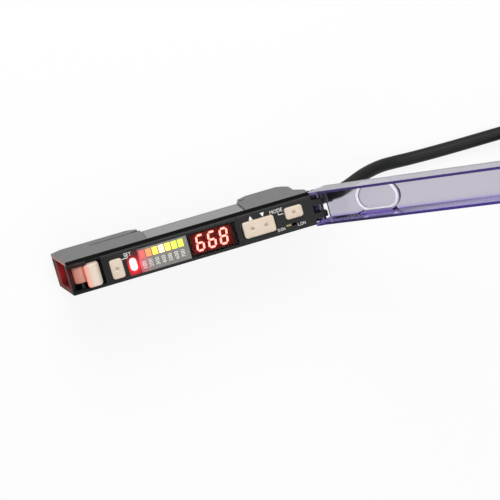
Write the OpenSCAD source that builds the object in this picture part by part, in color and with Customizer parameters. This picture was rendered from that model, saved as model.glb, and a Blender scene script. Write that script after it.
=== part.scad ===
// Slim rail-mounted amplifier for a fibre optic sensor, with its dust cover raised.
// X runs from the fibre end to the cable end, Y across the rail, Z up to the panel.
// The origin is the middle of the rail slot, level with the feet.
// Places along X are measured from the panel's fibre end.

/* [Case] */
// Width of the case
case_w = 10; // [9.6:0.1:12]
// Height from the feet to the panel
case_h = 30; // [29:0.5:36]
// Length of the panel
panel_l = 72.4; // [72:0.1:78]
// Width of the raised panel block
panel_w = 8.2; // [8:0.1:8.4]
// Height of the panel block above its ledges
block_h = 4; // [3.6:0.1:4.4]
// Thickness of the panel
panel_t = 1.4; // [1.2:0.1:1.5]
// Thickness of the panel block's long walls
block_wall = 0.9; // [0.8:0.05:1]
// Thickness of the case's broad wall
case_wall = 1.2; // [1:0.1:1.4]
// Thickness of the flat side cover
side_t = 1.2; // [1:0.1:1.4]
// Thickness of the ledges beside the panel block
ledge_t = 0.8; // [0.6:0.1:1]
// Bevel along the panel's long edges
panel_bevel = 0.4; // [0.2:0.1:0.6]
// How far the nose leans out towards its foot
nose_lean = 3.3; // [1:0.1:5]
// Height of the nose's lower corner
nose_foot = 3; // [2:0.1:5]
// How far the rear wall stands in from the panel's end
rear_inset = 2; // [1.5:0.1:3]
// Thickness of the rear wall
rear_t = 1.4; // [1.2:0.1:2]
// Width of the groove across the panel
groove_w = 0.6; // [0.3:0.1:1]
// Depth of the groove across the panel
groove_t = 0.3; // [0.1:0.1:0.6]
// Gap between pieces fitted flat to flat
fit_gap = 0.05; // [0.02:0.01:0.1]

/* [Rail slot] */
// Distance from the panel's fibre end to the middle of the rail
rail_x = 39; // [38:0.1:41]
// Width of the rail
rail_w = 35; // [34:0.5:36]
// Thickness of the rail's flange
rail_t = 1; // [0.8:0.1:1.5]
// Play of the rail in its slot
rail_gap = 0.15; // [0.1:0.05:0.4]
// Height of the face that sits on the rail
seat_z = 7; // [6:0.1:8]
// Reach of each claw under the rail
claw_reach = 1.9; // [1:0.1:2.5]
// Height of each claw's lower edge
claw_low = 3; // [2:0.1:4]
// Run of the bevel that leads the rail in
lead_in = 1.2; // [0.5:0.1:2]
// Thickness of the case over the rail seat
floor_t = 2.6; // [2.4:0.1:3.5]
// Width of the slit that lets the front claw flex
slit_w = 1; // [0.6:0.1:1.2]
// Length of the slit behind the front claw
slit_l = 12.5; // [8:0.5:16]

/* [Fibre ports] */
// Radius of each fibre port
port_r = 1.15; // [1:0.05:1.3]
// Distance from the ports to the floor and the ceiling of their room
port_margin = 2.8; // [2.7:0.05:3]
// Length of each port's guiding wall
port_l = 9; // [8:0.1:9.5]
// How far the ports' block stands back from the panel's end
port_inset = 0.6; // [0.4:0.1:1]
// Depth of the flare at each port's mouth
flare_l = 0.6; // [0.3:0.1:1]
// Radius of the emitter and of the receiver
can_r = 2; // [1.6:0.1:2.1]
// Length of the emitter and of the receiver
can_l = 5; // [4:0.1:7]
// Depth of the seat that holds the emitter or receiver
can_seat = 3; // [2:0.1:4]

/* [Fibre lock] */
// Place of the lever's pin along the panel
lever_x = 3.3; // [3.2:0.05:3.5]
// Depth of the lever's pin below the panel
lever_depth = 2.7; // [2.5:0.05:2.8]
// Radius of the lever's pin
pin_r = 0.7; // [0.5:0.05:0.8]
// Running clearance of the lever on its pin
pin_gap = 0.05; // [0.02:0.01:0.1]
// Radius of the lever's hub
hub_r = 2.2; // [2:0.05:2.25]
// Width of the lever
lever_w = 6.6; // [6:0.1:6.7]
// Width of the lever that the hub leaves out
hub_notch = 1.8; // [1:0.1:2.5]
// Place where the raised thumb bar starts
bar_x = 4.6; // [3.6:0.1:4.8]
// Length of the thumb bar
bar_l = 4.4; // [4:0.1:5.4]
// Height of the thumb bar above the panel
bar_rise = 1; // [0.6:0.1:1.4]
// Corner radius of the thumb bar
bar_corner = 0.8; // [0.6:0.1:1.4]
// Radius of the thumb bar's crown
bar_crown = 6; // [5:0.1:9]
// Depth of the lever's slot in the panel block
lever_slot = 5.4; // [5.3:0.1:5.6]
// Clearance at each side of the lever
lever_gap = 0.15; // [0.1:0.05:0.2]
// Height of the notch in the slot's front wall
front_notch = 1.8; // [1.7:0.1:2.2]
// Place of the clamp along the panel
clamp_x = 6.1; // [5.8:0.1:6.4]
// Thickness of the clamp
clamp_t = 1.6; // [1.2:0.1:2]
// Width of the clamp
clamp_w = 4.4; // [4.2:0.1:4.6]
// Width of the clamp's stem
stem_w = 2.4; // [1.6:0.1:3]
// How far the clamp moves at each port
clamp_stroke = 0.35; // [0.2:0.05:0.4]
// Radius of the clamp's trunnions
axle_r = 0.6; // [0.4:0.05:0.62]
// Length of each trunnion
axle_l = 0.6; // [0.4:0.1:0.8]
// Room above and below the clamp for its tilt
tilt_room = 0.45; // [0.35:0.05:0.5]
// Play round the clamp
clamp_gap = 0.1; // [0.05:0.05:0.15]
// Width of the lever's wedge
wedge_w = 0.9; // [0.6:0.1:1.2]
// Height of the slope that the wedge meets
wedge_h = 0.45; // [0.3:0.05:0.5]

/* [Keys] */
// Place of the SET key along the panel
set_x = 13.75; // [13.5:0.05:14.1]
// Place of the SET key across the panel
set_y = -0.2; // [-0.25:0.05:0]
// Length of the SET key
set_l = 3.7; // [3.4:0.1:4.3]
// Width of the SET key
set_w = 5.7; // [5:0.1:5.8]
// Distance from the panel's end to the MODE key
mode_run = 5.8; // [5.4:0.1:6.2]
// Place of the MODE key across the panel
mode_y = 1.2; // [1.1:0.05:1.3]
// Length of the MODE key
mode_l = 5.3; // [4.8:0.1:5.6]
// Width of the MODE key
mode_w = 3.5; // [3.2:0.1:3.6]
// Height of the SET and MODE keys above the panel
key_rise = 1; // [0.6:0.1:1.4]
// Corner radius of every key
key_corner = 0.8; // [0.5:0.05:1]
// Clearance round the SET and MODE keys
key_gap = 0.15; // [0.1:0.05:0.2]
// Reach of the lugs that hold a key in
key_lug = 0.5; // [0.3:0.05:0.6]
// Thickness of those lugs
lug_t = 0.5; // [0.4:0.05:0.6]
// Radius of each key's leg
leg_r = 0.9; // [0.7:0.05:1.1]
// Radius of the sphere that shapes each thumb dimple
dimple_r = 0.8; // [0.5:0.1:1.2]
// Depth of each thumb dimple
dimple_t = 0.15; // [0.05:0.05:0.25]
// Distance from the panel's end to the rocker's middle
rocker_run = 16.5; // [15.4:0.1:16.6]
// Place of the rocker key across the panel
rocker_y = -0.1; // [-0.3:0.05:0.2]
// Length of the rocker key
rocker_l = 9.4; // [8.8:0.1:9.8]
// Width of the rocker key
rocker_w = 4.8; // [4.4:0.1:5]
// Height of the rocker key above the panel
rocker_rise = 1.2; // [0.8:0.1:1.5]
// Clearance at each end of the rocker key
rocker_gap = 0.35; // [0.3:0.05:0.45]
// Depth of the rocker's trunnions below the panel
trunnion_depth = 2.6; // [2.4:0.05:2.7]
// Radius of the rocker's trunnions
trunnion_r = 0.6; // [0.5:0.05:0.7]
// Running clearance of the trunnions
trunnion_gap = 0.05; // [0.02:0.01:0.1]
// Depth of the trunnions' holes in the block's walls
trunnion_seat = 0.5; // [0.3:0.05:0.6]
// Distance from the rocker's middle to each leg
rocker_arm = 3.2; // [3:0.1:3.3]
// Distance from the rocker's middle to each thumb dimple
rocker_thumb = 2; // [1.5:0.1:3]
// Radius of each snap dome
dome_r = 1.9; // [1.5:0.1:2.1]
// Height of each snap dome
dome_t = 0.3; // [0.2:0.05:0.4]

/* [Selector] */
// Distance from the panel's end to the selector's middle
selector_run = 7.3; // [6.9:0.1:7.5]
// Place of the selector slot across the panel
selector_y = -2.25; // [-2.3:0.05:-2.2]
// Length of the selector slot
selector_l = 3.2; // [2.8:0.1:3.6]
// Width of the selector slot
selector_w = 0.75; // [0.6:0.05:0.8]
// Length of the selector's knob
knob_l = 1.5; // [1:0.1:1.6]
// Clearance of the knob in its slot
knob_gap = 0.1; // [0.05:0.05:0.15]
// Length of the switch under the selector
switch_l = 6; // [5:0.1:6.4]
// Width of the switch under the selector
switch_w = 1.8; // [1.6:0.1:1.9]
// Height of the switch under the selector
switch_h = 2.4; // [2:0.1:2.8]

/* [Windows] */
// Start of the status window along the panel
status_x = 16.9; // [16.8:0.05:17]
// Start of the bar scale along the panel
scale_x = 20.4; // [20.3:0.05:20.5]
// Length of the display window
display_l = 14.3; // [14:0.1:14.6]
// Distance from the panel's end to the display window
display_run = 23.05; // [22.9:0.05:23.2]
// Width of the windows
window_w = 6.9; // [6.6:0.1:7]
// Thickness of the windows
window_t = 0.9; // [0.7:0.05:1]
// How far the windows sit below the panel
window_drop = 0.1; // [0.05:0.05:0.2]
// Width of the lip that carries the windows
window_lip = 0.5; // [0.3:0.05:0.6]
// Place of the status lens along the panel
lens_x = 18.5; // [18.5:0.05:18.7]
// Place of the status lens across the panel
lens_y = -0.35; // [-0.5:0.05:0.2]
// Width of the status lens
lens_w = 2; // [1.8:0.1:2.1]
// Length of the status lens across the panel
lens_l = 3.7; // [3.2:0.1:4.4]
// Height of the status lens above the panel
lens_rise = 0.2; // [0.1:0.05:0.4]
// Distance from the scale's start to the first bar
light_start = 0.45; // [0.3:0.05:0.6]
// Distance from the last bar to the display window
light_end = 1.3; // [0.8:0.05:1.6]
// Place of the lit bars across the panel
light_y = 1.75; // [1.6:0.05:1.8]
// Gap between the bars
light_gap = 0.4; // [0.35:0.05:0.6]
// Length of each lit bar across the panel
light_l = 2.2; // [1.8:0.1:2.3]
// Distance from the display window's end to the middle digit
digit_run = 7.3; // [6.8:0.05:7.4]
// Place of the digits across the panel
digit_y = 0; // [-0.4:0.05:0.45]
// Distance from one digit to the next
digit_pitch = 3.5; // [3.3:0.05:3.6]
// Height of each digit as it is read
digit_h = 4.9; // [4:0.1:4.9]
// Width of each digit
digit_w = 2.5; // [2:0.1:2.6]
// Width of each digit's strokes
stroke_w = 0.58; // [0.4:0.02:0.7]
// Gap between a digit's strokes
stroke_gap = 0.26; // [0.1:0.02:0.3]
// Sideways lean of the digits for each unit of height
digit_lean = 0.12; // [0:0.01:0.15]
// Thickness of the lit strokes
stroke_t = 0.15; // [0.1:0.05:0.3]
// Length of the digit module
module_l = 12.6; // [12.2:0.1:12.8]
// Width of the digit module
module_w = 6.2; // [6:0.1:6.3]
// Height of the digit module
module_h = 4.5; // [4.2:0.1:4.8]

/* [Boards] */
// Thickness of the boards
board_t = 1; // [0.8:0.1:1.2]
// Gap between the main board and the cable's bush
main_end = 1.8; // [1:0.1:8]
// Distance from the main board's end to the processor
chip_run = 14; // [8:0.5:20]
// Distance from the main board to the side cover
main_gap = 1.2; // [0.8:0.1:2]
// Side of the processor
chip_l = 7; // [5:0.5:9]
// Thickness of the processor
chip_t = 1.2; // [0.8:0.1:1.5]
// Height of each light-emitting chip
led_t = 0.8; // [0.5:0.1:1]

/* [Side label] */
// Start of the label's recess along the panel
label_x = 24; // [23.5:0.5:26]
// Length of the label's recess
label_l = 30; // [26:0.5:31]
// Depth of the label's recess
label_recess = 0.5; // [0.3:0.05:0.6]
// Thickness of the label
label_t = 0.2; // [0.1:0.05:0.3]
// Margin round the label
label_margin = 0.5; // [0.3:0.1:1]

/* [Dust cover] */
// Distance from the panel's end to the cover's hinge
hinge_run = 2.3; // [2.2:0.1:2.6]
// Depth of the cover's hinge below the panel
hinge_depth = 2; // [1.8:0.1:2.2]
// Angle of the raised cover above level
cover_angle = 47; // [30:1:80]
// Place of the closed cover's free end along the panel
cover_x = 10.3; // [10.2:0.1:10.8]
// Thickness of the cover's walls
cover_wall = 0.75; // [0.6:0.05:0.75]
// Thickness of the cover's roof
roof_t = 1; // [0.8:0.1:1.2]
// Room between the panel and the closed roof
roof_room = 3; // [2.8:0.1:4]
// Gap between the closed cover and the ledges
cover_gap = 0.2; // [0.15:0.05:0.4]
// Radius of the cover's hinge bar
hinge_r = 1.1; // [0.9:0.05:1.2]
// Running clearance of the hinge bar
hinge_gap = 0.05; // [0.02:0.01:0.1]
// Wall of the knuckles round the hinge bar
knuckle_t = 0.75; // [0.6:0.05:0.8]
// Width of each knuckle
knuckle_w = 1.6; // [1.2:0.1:2]
// Distance from the middle to each knuckle
knuckle_y = 2; // [1.6:0.1:2.4]
// Radius of the cover's arms round the hinge bar
arm_r = 2.3; // [2:0.05:2.4]
// Distance from the hinge to the middle of the oval pocket
oval_run = 16.9; // [15:0.1:20]
// Length of the oval pocket
oval_l = 13.2; // [11:0.1:14]
// Width of the oval pocket
oval_w = 6.6; // [5.6:0.1:6.8]
// Depth of the oval pocket
oval_t = 0.9; // [0.5:0.1:1.2]
// Length of the rib beside the oval pocket
rib_l = 12; // [8:0.5:14]
// Thickness of that rib
rib_t = 0.7; // [0.5:0.1:0.9]
// Height of that rib
rib_h = 2.4; // [1.5:0.1:2.5]

/* [Cable] */
// Radius of the cable
cable_r = 2; // [1.8:0.1:2.2]
// Height of the cable's bush above the feet
bush_z = 10; // [9.8:0.1:11]
// Radius of the bush's collar
collar_r = 3.2; // [3:0.1:3.6]
// Radius of the bush where it passes the wall
shank_r = 2.5; // [2.3:0.1:2.8]
// Thickness of the bush's collars
collar_t = 1; // [0.8:0.1:1.4]
// Length of the bush's tail
bush_l = 10.6; // [8:0.1:12]
// Height of the coil's base
coil_z = 0.6; // [0.6:0.1:1]
// Layers of the oval coil
coil_layers = 6; // [4:1:7]
// Turns in each layer of the coil
coil_turns = 2; // [1:1:2]
// Radius of the coil's end loops at the middle of its turns
coil_r = 16; // [14:0.5:18]
// Length of the coil's straight sides
coil_l = 26; // [20:0.5:30]
// Width of the coil's tie
tie_w = 4; // [3:0.5:6]
// Thickness of the coil's tie
tie_t = 0.6; // [0.4:0.1:0.6]
// Radius of each lead at the cable's end
lead_r = 0.6; // [0.5:0.05:0.7]

/* [Hidden] */
$fn = 48;
// Overrun of every cut past the face that it opens
cut = 0.1;

// Heights
ledge_z = case_h - block_h;
under_panel = case_h - panel_t;
window_z = case_h - window_drop - window_t;
module_gap = 0.1;
board_top = under_panel - module_gap - module_h;
floor_z = seat_z + floor_t;
divider_t = 0.4;
pocket_top = board_top - board_t - divider_t;
slot_floor = case_h - lever_slot;
wedge_z = slot_floor + 0.05;

// Half widths
half_w = case_w / 2;
half_panel = panel_w / 2;
half_room = half_panel - block_wall;
parting_y = half_w - side_t;
broad_y = -half_w + case_wall;

// Lengths
rear_x = panel_l - rear_inset;
rear_top = panel_l + 0.4;
bush_in = rear_x - rear_t - collar_t;
room_x = cover_x + 0.6;
room_end = panel_l - 1.4;
mode_x = panel_l - mode_run;
rocker_x = panel_l - rocker_run;
selector_x = panel_l - selector_run;
display_end = panel_l - display_run;
display_x = display_end - display_l;
digit_x = display_end - digit_run;
light_w = (display_x - scale_x - light_start - light_end - 6 * light_gap) / 7;
lever_slot_x = 0.9;
lever_slot_end = bar_x + bar_l + 0.9;

// Rail slot
slot_low = rail_x - rail_w / 2 - rail_gap;
slot_high = rail_x + rail_w / 2 + rail_gap;
claw_top = seat_z - rail_t - rail_gap;

// Ports
port_mid = (floor_z + pocket_top) / 2;
port_zs = [pocket_top - port_margin, floor_z + port_margin];
port_end = port_inset + flare_l + port_l;
block_end = port_end + can_seat;
pocket_y = broad_y + 0.35;

// Clamp: its tilt from locked to open, and how far that carries a point at some height
clamp_turn = asin(clamp_stroke / (port_zs[0] - port_mid));
function clamp_sweep(z) = abs(z - port_mid) * sin(clamp_turn);
clamp_top = pocket_top - tilt_room;
clamp_low = floor_z + 0.4 + tilt_room;

// Keys
leg_gap = 0.05;
leg_low = board_top + dome_t + leg_gap;
lug_gap = 0.1;
cap_low = under_panel - lug_gap - lug_t;

// Dust cover, along its length and outwards from its hinge
hinge_x = panel_l + hinge_run;
hinge_z = case_h - hinge_depth;
cover_l = hinge_x - cover_x;
roof_in = hinge_depth + roof_room;
roof_out = roof_in + roof_t;
rim = hinge_z - ledge_z - cover_gap;
cover_in = half_w - cover_wall;
heel = 1.2;

// Outline of the lower case, with the rail slot and its claws
case_outline = [
    [0, ledge_z], [-nose_lean, nose_foot], [nose_foot - nose_lean, 0],
    [slot_low - lead_in, 0], [slot_low + claw_reach, claw_low],
    [slot_low + claw_reach, claw_top], [slot_low, claw_top], [slot_low, seat_z],
    [slot_high, seat_z], [slot_high, claw_top], [slot_high - claw_reach, claw_top],
    [slot_high - claw_reach, claw_low], [slot_high + lead_in, 0],
    [rear_x - 2.9, 0], [rear_x - 1.1, nose_foot], [rear_x, bush_z - 4], [rear_x, bush_z + 4.5],
    [rear_top, bush_z + 10], [rear_top, ledge_z]
];

// The cable's route, chosen by hand: out of the bush, down to the ground and along it
bush_end = rear_x + collar_t + bush_l;
cable_route = [
    [bush_end, 0, bush_z], [bush_end + 2.5, 0, bush_z], [88, 0.8, 9.2], [92, 1.9, 7.5], [96, 2.5, 5.4],
    [100, 2.7, 3.6], [104, 2.5, 2.5], [109, 2.2, 2.1], [116, 2, 2], [124, 1.9, 2], [133, 1.9, 2],
    [142, 1.9, 2.1], [151, 1.9, 2.4], [160, 1.9, 2.6]
];
coil_x = 160;
coil_far = coil_x + coil_l;
coil_side = 1.9;
coil_half = coil_turns * cable_r;
coil_out = coil_r + coil_half + cable_r;
coil_in = coil_r - coil_half - cable_r;
coil_y = coil_side - coil_r - coil_half;
coil_h = 2 * cable_r * coil_layers;

// The tail climbs onto the coil's top layer, goes round its far loop and ends in bare leads
tail_r = coil_r - 1;
tail_low = coil_z + coil_h - cable_r;
tail_high = tail_low + 2 * cable_r;
climb_steps = 10;
loop_steps = 12;
function ease(t) = t <= 0 ? 0 : t >= 1 ? 1 : t * t * (3 - 2 * t);
function climb_point(t) = [
    coil_x + coil_l * t,
    coil_side - (coil_r + coil_half - tail_r) * ease((t - 0.3) / 0.7),
    tail_low + (tail_high - tail_low) * ease(t / 0.7)
];
function loop_point(a) = [coil_far + tail_r * cos(a), coil_y + tail_r * sin(a), tail_high];
tail_route = concat(
    [for (i = [0 : climb_steps]) climb_point(i / climb_steps)],
    [for (i = [1 : loop_steps]) loop_point(90 - 180 * i / loop_steps)]
);
tail_tip = tail_route[climb_steps + loop_steps];

// One stroke of a digit, pointed at both ends
function level_stroke(l) = [
    [-l / 2, 0], [-l / 2 + stroke_w / 2, stroke_w / 2], [l / 2 - stroke_w / 2, stroke_w / 2],
    [l / 2, 0], [l / 2 - stroke_w / 2, -stroke_w / 2], [-l / 2 + stroke_w / 2, -stroke_w / 2]
];
function upright_stroke(l) = [for (p = level_stroke(l)) [p[1], p[0]]];
function leaned(points, x, y) = [for (p = points) [p[0] + x + digit_lean * (p[1] + y), p[1] + y]];
function unit(v) = v / norm(v);

module at_panel() {
    translate([-rail_x, 0, 0]) children();
}

module block(x0, x1, y0, y1, z0, z1) {
    translate([x0, y0, z0]) cube([x1 - x0, y1 - y0, z1 - z0]);
}

// A profile in X and Z, carried across the case
module across(points, y0, y1) {
    translate([0, y1, 0]) rotate([90, 0, 0]) linear_extrude(y1 - y0) polygon(points);
}

// A profile in Y and Z, carried along the case
module along(points, x0, x1) {
    translate([x0, 0, 0]) rotate([90, 0, 90]) linear_extrude(x1 - x0) polygon(points);
}

module rod_across(x, z, r, y0, y1) {
    translate([x, y1, z]) rotate([90, 0, 0]) cylinder(h = y1 - y0, r = r);
}

module rod_along(x0, x1, y, z, r0, r1) {
    translate([x0, y, z]) rotate([0, 90, 0]) cylinder(h = x1 - x0, r1 = r0, r2 = r1);
}

module rounded(l, w, r) {
    square([l - 2 * r, w], center = true);
    square([l, w - 2 * r], center = true);
    for (x = [-1, 1], y = [-1, 1]) translate([x * (l / 2 - r), y * (w / 2 - r)]) circle(r);
}

module stadium(l, w) {
    square([l - w, w], center = true);
    for (x = [-1, 1]) translate([x * (l - w) / 2, 0]) circle(w / 2);
}

module upright(x, y, z0, z1) {
    translate([x, y, z0]) linear_extrude(z1 - z0) children();
}

// A round cord swept along a route, with its rings square to the route
module cord(route, r, sides) {
    last = len(route) - 1;
    function heading(i) = unit(route[min(last, i + 1)] - route[max(0, i - 1)]);
    function beside(i) = unit(cross(heading(i), [0, 0, 1]));
    function above(i) = cross(beside(i), heading(i));
    rings = [for (i = [0 : last], k = [0 : sides - 1])
        route[i] + r * (cos(360 * k / sides) * beside(i) + sin(360 * k / sides) * above(i))];
    walls = [for (i = [0 : last - 1], k = [0 : sides - 1])
        [i * sides + k, (i + 1) * sides + k, (i + 1) * sides + (k + 1) % sides, i * sides + (k + 1) % sides]];
    start = [for (k = [0 : sides - 1]) k];
    end = [for (k = [sides - 1 : -1 : 0]) last * sides + k];
    polyhedron(points = rings, faces = concat([start], walls, [end]));
}

// Raised block that carries the panel, bevelled along its long edges
module panel_block() {
    rotate([90, 0, 90]) linear_extrude(panel_l) polygon([
        [-half_panel, ledge_z], [-half_panel, case_h - panel_bevel], [panel_bevel - half_panel, case_h],
        [half_panel - panel_bevel, case_h], [half_panel, case_h - panel_bevel], [half_panel, ledge_z]
    ]);
}

// Clips at the panel's end that the cover's hinge bar snaps into
module knuckles() {
    knuckle_r = hinge_r + hinge_gap + knuckle_t;
    for (side = [-1, 1]) {
        y0 = side * knuckle_y - knuckle_w / 2;
        y1 = side * knuckle_y + knuckle_w / 2;
        difference() {
            union() {
                rod_across(hinge_x, hinge_z, knuckle_r, y0, y1);
                block(panel_l - cut, hinge_x, y0, y1, hinge_z - knuckle_r + 0.2, hinge_z + knuckle_r - 0.2);
            }
            rod_across(hinge_x, hinge_z, hinge_r + hinge_gap, y0 - cut, y1 + cut);
            block(hinge_x, hinge_x + 2 * knuckle_r, y0 - cut, y1 + cut,
                hinge_z - 0.75 * hinge_r, hinge_z + 0.75 * hinge_r);
        }
    }
}

// Rooms inside the case: round the ports, behind them, round the bush and under the panel
module rooms() {
    block(-nose_lean - 1, block_end + fit_gap, pocket_y, parting_y + cut, floor_z, pocket_top);
    block(block_end, rear_x - rear_t, broad_y, parting_y + cut, floor_z, pocket_top);
    block(bush_in - 1, rear_x - rear_t, broad_y, parting_y + cut, bush_z - 4, floor_z + cut);
    block(room_x, room_end, broad_y, parting_y + cut, pocket_top - cut, ledge_z - ledge_t);
    block(room_x, room_end, -half_room, half_room, pocket_top, under_panel);
}

// Slot for the lever, open at the front and beside the thumb bar, with the clamp's way down
module lever_cuts() {
    slot_half = lever_w / 2 + lever_gap;
    block(lever_slot_x, lever_slot_end, -slot_half, slot_half, slot_floor, case_h + cut);
    block(-cut, lever_slot_x + cut, -slot_half, slot_half, case_h - front_notch, case_h + cut);
    block(bar_x + 1, lever_slot_end, 0, half_panel + cut, case_h - lever_depth - 0.1, case_h + cut);
    rod_across(lever_x, case_h - lever_depth, pin_r, -half_panel - cut, half_panel + cut);
    block(clamp_x - clamp_t / 2 - clamp_gap, clamp_x + clamp_t / 2 + clamp_gap,
        -stem_w / 2 - clamp_gap, stem_w / 2 + clamp_gap + clamp_sweep(slot_floor),
        pocket_top - cut, slot_floor + cut);
}

// Openings in the panel for the keys, the selector and the windows
module panel_cuts() {
    low = under_panel - cut;
    high = case_h + cut;
    corner = key_corner + key_gap;
    upright(set_x, set_y, low, high) rounded(set_l + 2 * key_gap, set_w + 2 * key_gap, corner);
    upright(mode_x, mode_y, low, high) rounded(mode_l + 2 * key_gap, mode_w + 2 * key_gap, corner);
    upright(rocker_x, rocker_y, low, high)
        rounded(rocker_l + 2 * rocker_gap, rocker_w + 2 * key_gap, corner);
    upright(selector_x, selector_y, low, high) square([selector_l, selector_w], center = true);
    block(status_x - fit_gap, display_end + fit_gap, -window_w / 2 - fit_gap, window_w / 2 + fit_gap,
        window_z, high);
    block(status_x + window_lip, display_end - window_lip, window_lip - window_w / 2,
        window_w / 2 - window_lip, low, high);
    block(display_end + 0.4, display_end + 0.4 + groove_w, -half_w, half_w, case_h - groove_t, high);
    rod_across(rocker_x, case_h - trunnion_depth, trunnion_r + trunnion_gap,
        -half_room - trunnion_seat, half_room + trunnion_seat);
}

// Slit that frees the front claw, with a round end
module claw_slit() {
    slit_mid = seat_z + slit_w / 2;
    block(slot_low - slit_l, slot_low + claw_reach, -half_w - cut, half_w + cut, seat_z, seat_z + slit_w);
    rod_across(slot_low - slit_l, slit_mid, slit_w / 2, -half_w - cut, half_w + cut);
}

// Pegs that locate the side cover, or with a gap their holes
peg_places = [[7, 3.6], [rear_x - 6, 3.4], [4, slot_floor - 1]];
module pegs(gap) {
    peg_r = 0.6;
    peg_l = 2;
    for (p = peg_places) rod_across(p[0], p[1], peg_r + gap, parting_y - peg_l - gap, parting_y + cut);
}

module case_body() {
    color("#3a3b3a") at_panel() difference() {
        union() {
            across(case_outline, -half_w, parting_y);
            panel_block();
            knuckles();
        }
        rooms();
        lever_cuts();
        panel_cuts();
        claw_slit();
        pegs(fit_gap);
        rod_along(rear_x - rear_t - cut, rear_x + cut, 0, bush_z, shank_r + fit_gap, shank_r + fit_gap);
    }
}

module side_cover() {
    color("#4a4b4a") at_panel() {
        difference() {
            across(case_outline, parting_y, half_w);
            block(label_x, label_x + label_l, half_w - label_recess, half_w + cut, 0, ledge_z - label_margin);
            claw_slit();
        }
        pegs(0);
    }
}

module side_label() {
    label_y = half_w - label_recess;
    color("#a9a9a7") at_panel() block(label_x + label_margin, label_x + label_l - label_margin,
        label_y, label_y + label_t, floor_z, ledge_z - 2 * label_margin);
}

// Block with the two fibre ports, the clamp's slot and the seats for emitter and receiver
module fibre_block() {
    clamp_room = clamp_t / 2 + clamp_gap;
    clamp_half = clamp_w / 2 + clamp_sweep(clamp_top) + clamp_gap;
    color("#2c2c2d") at_panel() difference() {
        block(port_inset, block_end, pocket_y + fit_gap, parting_y - fit_gap, floor_z, pocket_top - fit_gap);
        for (z = port_zs) {
            rod_along(port_inset - cut, block_end, 0, z, port_r, port_r);
            rod_along(port_inset, port_inset + flare_l, 0, z, port_r + flare_l, port_r);
            rod_along(port_end, block_end + cut, 0, z, can_r, can_r);
        }
        block(clamp_x - clamp_room, clamp_x + clamp_room, -clamp_half, clamp_half,
            clamp_low - tilt_room, pocket_top + cut);
        rod_along(clamp_x - clamp_room - axle_l, clamp_x + clamp_room + axle_l, 0, port_mid,
            axle_r + pin_gap, axle_r + pin_gap);
    }
}

// Clamp that rocks midway between the ports, shown locked: a side of each window comes level with its port
module fibre_clamp() {
    stem = stem_w / 2;
    x0 = clamp_x - clamp_t / 2;
    x1 = clamp_x + clamp_t / 2;
    window_r = port_r + clamp_stroke;
    color("#d9d4c6") at_panel() difference() {
        union() {
            block(x0, x1, -clamp_w / 2, clamp_w / 2, clamp_low, clamp_top);
            along([
                [-stem, clamp_top - cut], [stem, clamp_top - cut], [stem, wedge_z],
                [stem - wedge_h, wedge_z + wedge_h], [-stem, wedge_z + wedge_h]
            ], x0, x1);
            rod_along(x0 - axle_l, x1 + axle_l, 0, port_mid, axle_r, axle_r);
        }
        for (i = [0, 1]) rod_along(x0 - cut, x1 + cut, (2 * i - 1) * clamp_stroke, port_zs[i],
            window_r, window_r);
    }
}

// Lever with a round hub, a crowned thumb bar and a wedge that holds the clamp locked
module lock_lever() {
    pivot_z = case_h - lever_depth;
    bar_low = pivot_z - hub_r + 0.1;
    bar_mid = bar_x + bar_l / 2;
    wedge_y = stem_w / 2 + clamp_gap;
    wedge_top = wedge_y - bar_low + wedge_z;
    color("#e9dcc6") at_panel() difference() {
        union() {
            rod_across(lever_x, pivot_z, hub_r, hub_notch - lever_w / 2, lever_w / 2);
            intersection() {
                upright(bar_mid, 0, bar_low, case_h + bar_rise) rounded(bar_l, lever_w, bar_corner);
                rod_across(bar_mid, case_h + bar_rise - bar_crown, bar_crown, -lever_w, lever_w);
            }
            along([
                [wedge_y, wedge_z], [wedge_y + wedge_w, wedge_z], [wedge_y + wedge_w, bar_low + 0.5],
                [wedge_top, bar_low + 0.5], [wedge_top, bar_low]
            ], clamp_x - clamp_t / 2, clamp_x + clamp_t / 2);
        }
        rod_across(lever_x, pivot_z, pin_r + pin_gap, -lever_w, lever_w);
    }
}

module lever_pin() {
    color("silver") at_panel()
        rod_across(lever_x, case_h - lever_depth, pin_r, -half_panel, half_panel);
}

// Round can with a lens dome towards its port and a rim at its seat
module optical_can(z) {
    can_rim = 0.15;
    rod_along(port_end + 1.2, port_end + can_l, 0, z, can_r - fit_gap, can_r - fit_gap);
    intersection() {
        translate([port_end + 1.4, 0, z]) sphere(1.3);
        block(port_end, port_end + 1.4, -2, 2, z - 2, z + 2);
    }
    rod_along(block_end, block_end + 0.5, 0, z, can_r + can_rim, can_r + can_rim);
}

module emitter() {
    color("#c8322d") at_panel() optical_can(port_zs[0]);
}

module receiver() {
    color("#33363d") at_panel() optical_can(port_zs[1]);
}

module window_plate(x0, x1) {
    block(x0, x1, -window_w / 2, window_w / 2, window_z, window_z + window_t);
}

module status_window() {
    color("#5d1512") at_panel() difference() {
        window_plate(status_x, scale_x - fit_gap);
        upright(lens_x, lens_y, window_z - cut, case_h) rotate(90)
            stadium(lens_l + 2 * fit_gap, lens_w + 2 * fit_gap);
    }
}

module status_lens() {
    color("#ff6a50") at_panel()
        upright(lens_x, lens_y, board_top + led_t + 0.1, case_h + lens_rise) rotate(90) stadium(lens_l, lens_w);
}

module status_led() {
    color("#e8e4dc") at_panel() upright(lens_x, lens_y, board_top, board_top + led_t)
        square([lens_w - 0.6, lens_l - 1.2], center = true);
}

// The i-th bar's own place along the panel
function light_at(i) = scale_x + light_start + light_w / 2 + i * (light_w + light_gap);
light_colours = ["#ff5a64", "#ff8a70", "#ffd35a", "#fff0b0", "#ffe07a", "#dce86a", "#cfe062"];

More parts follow.
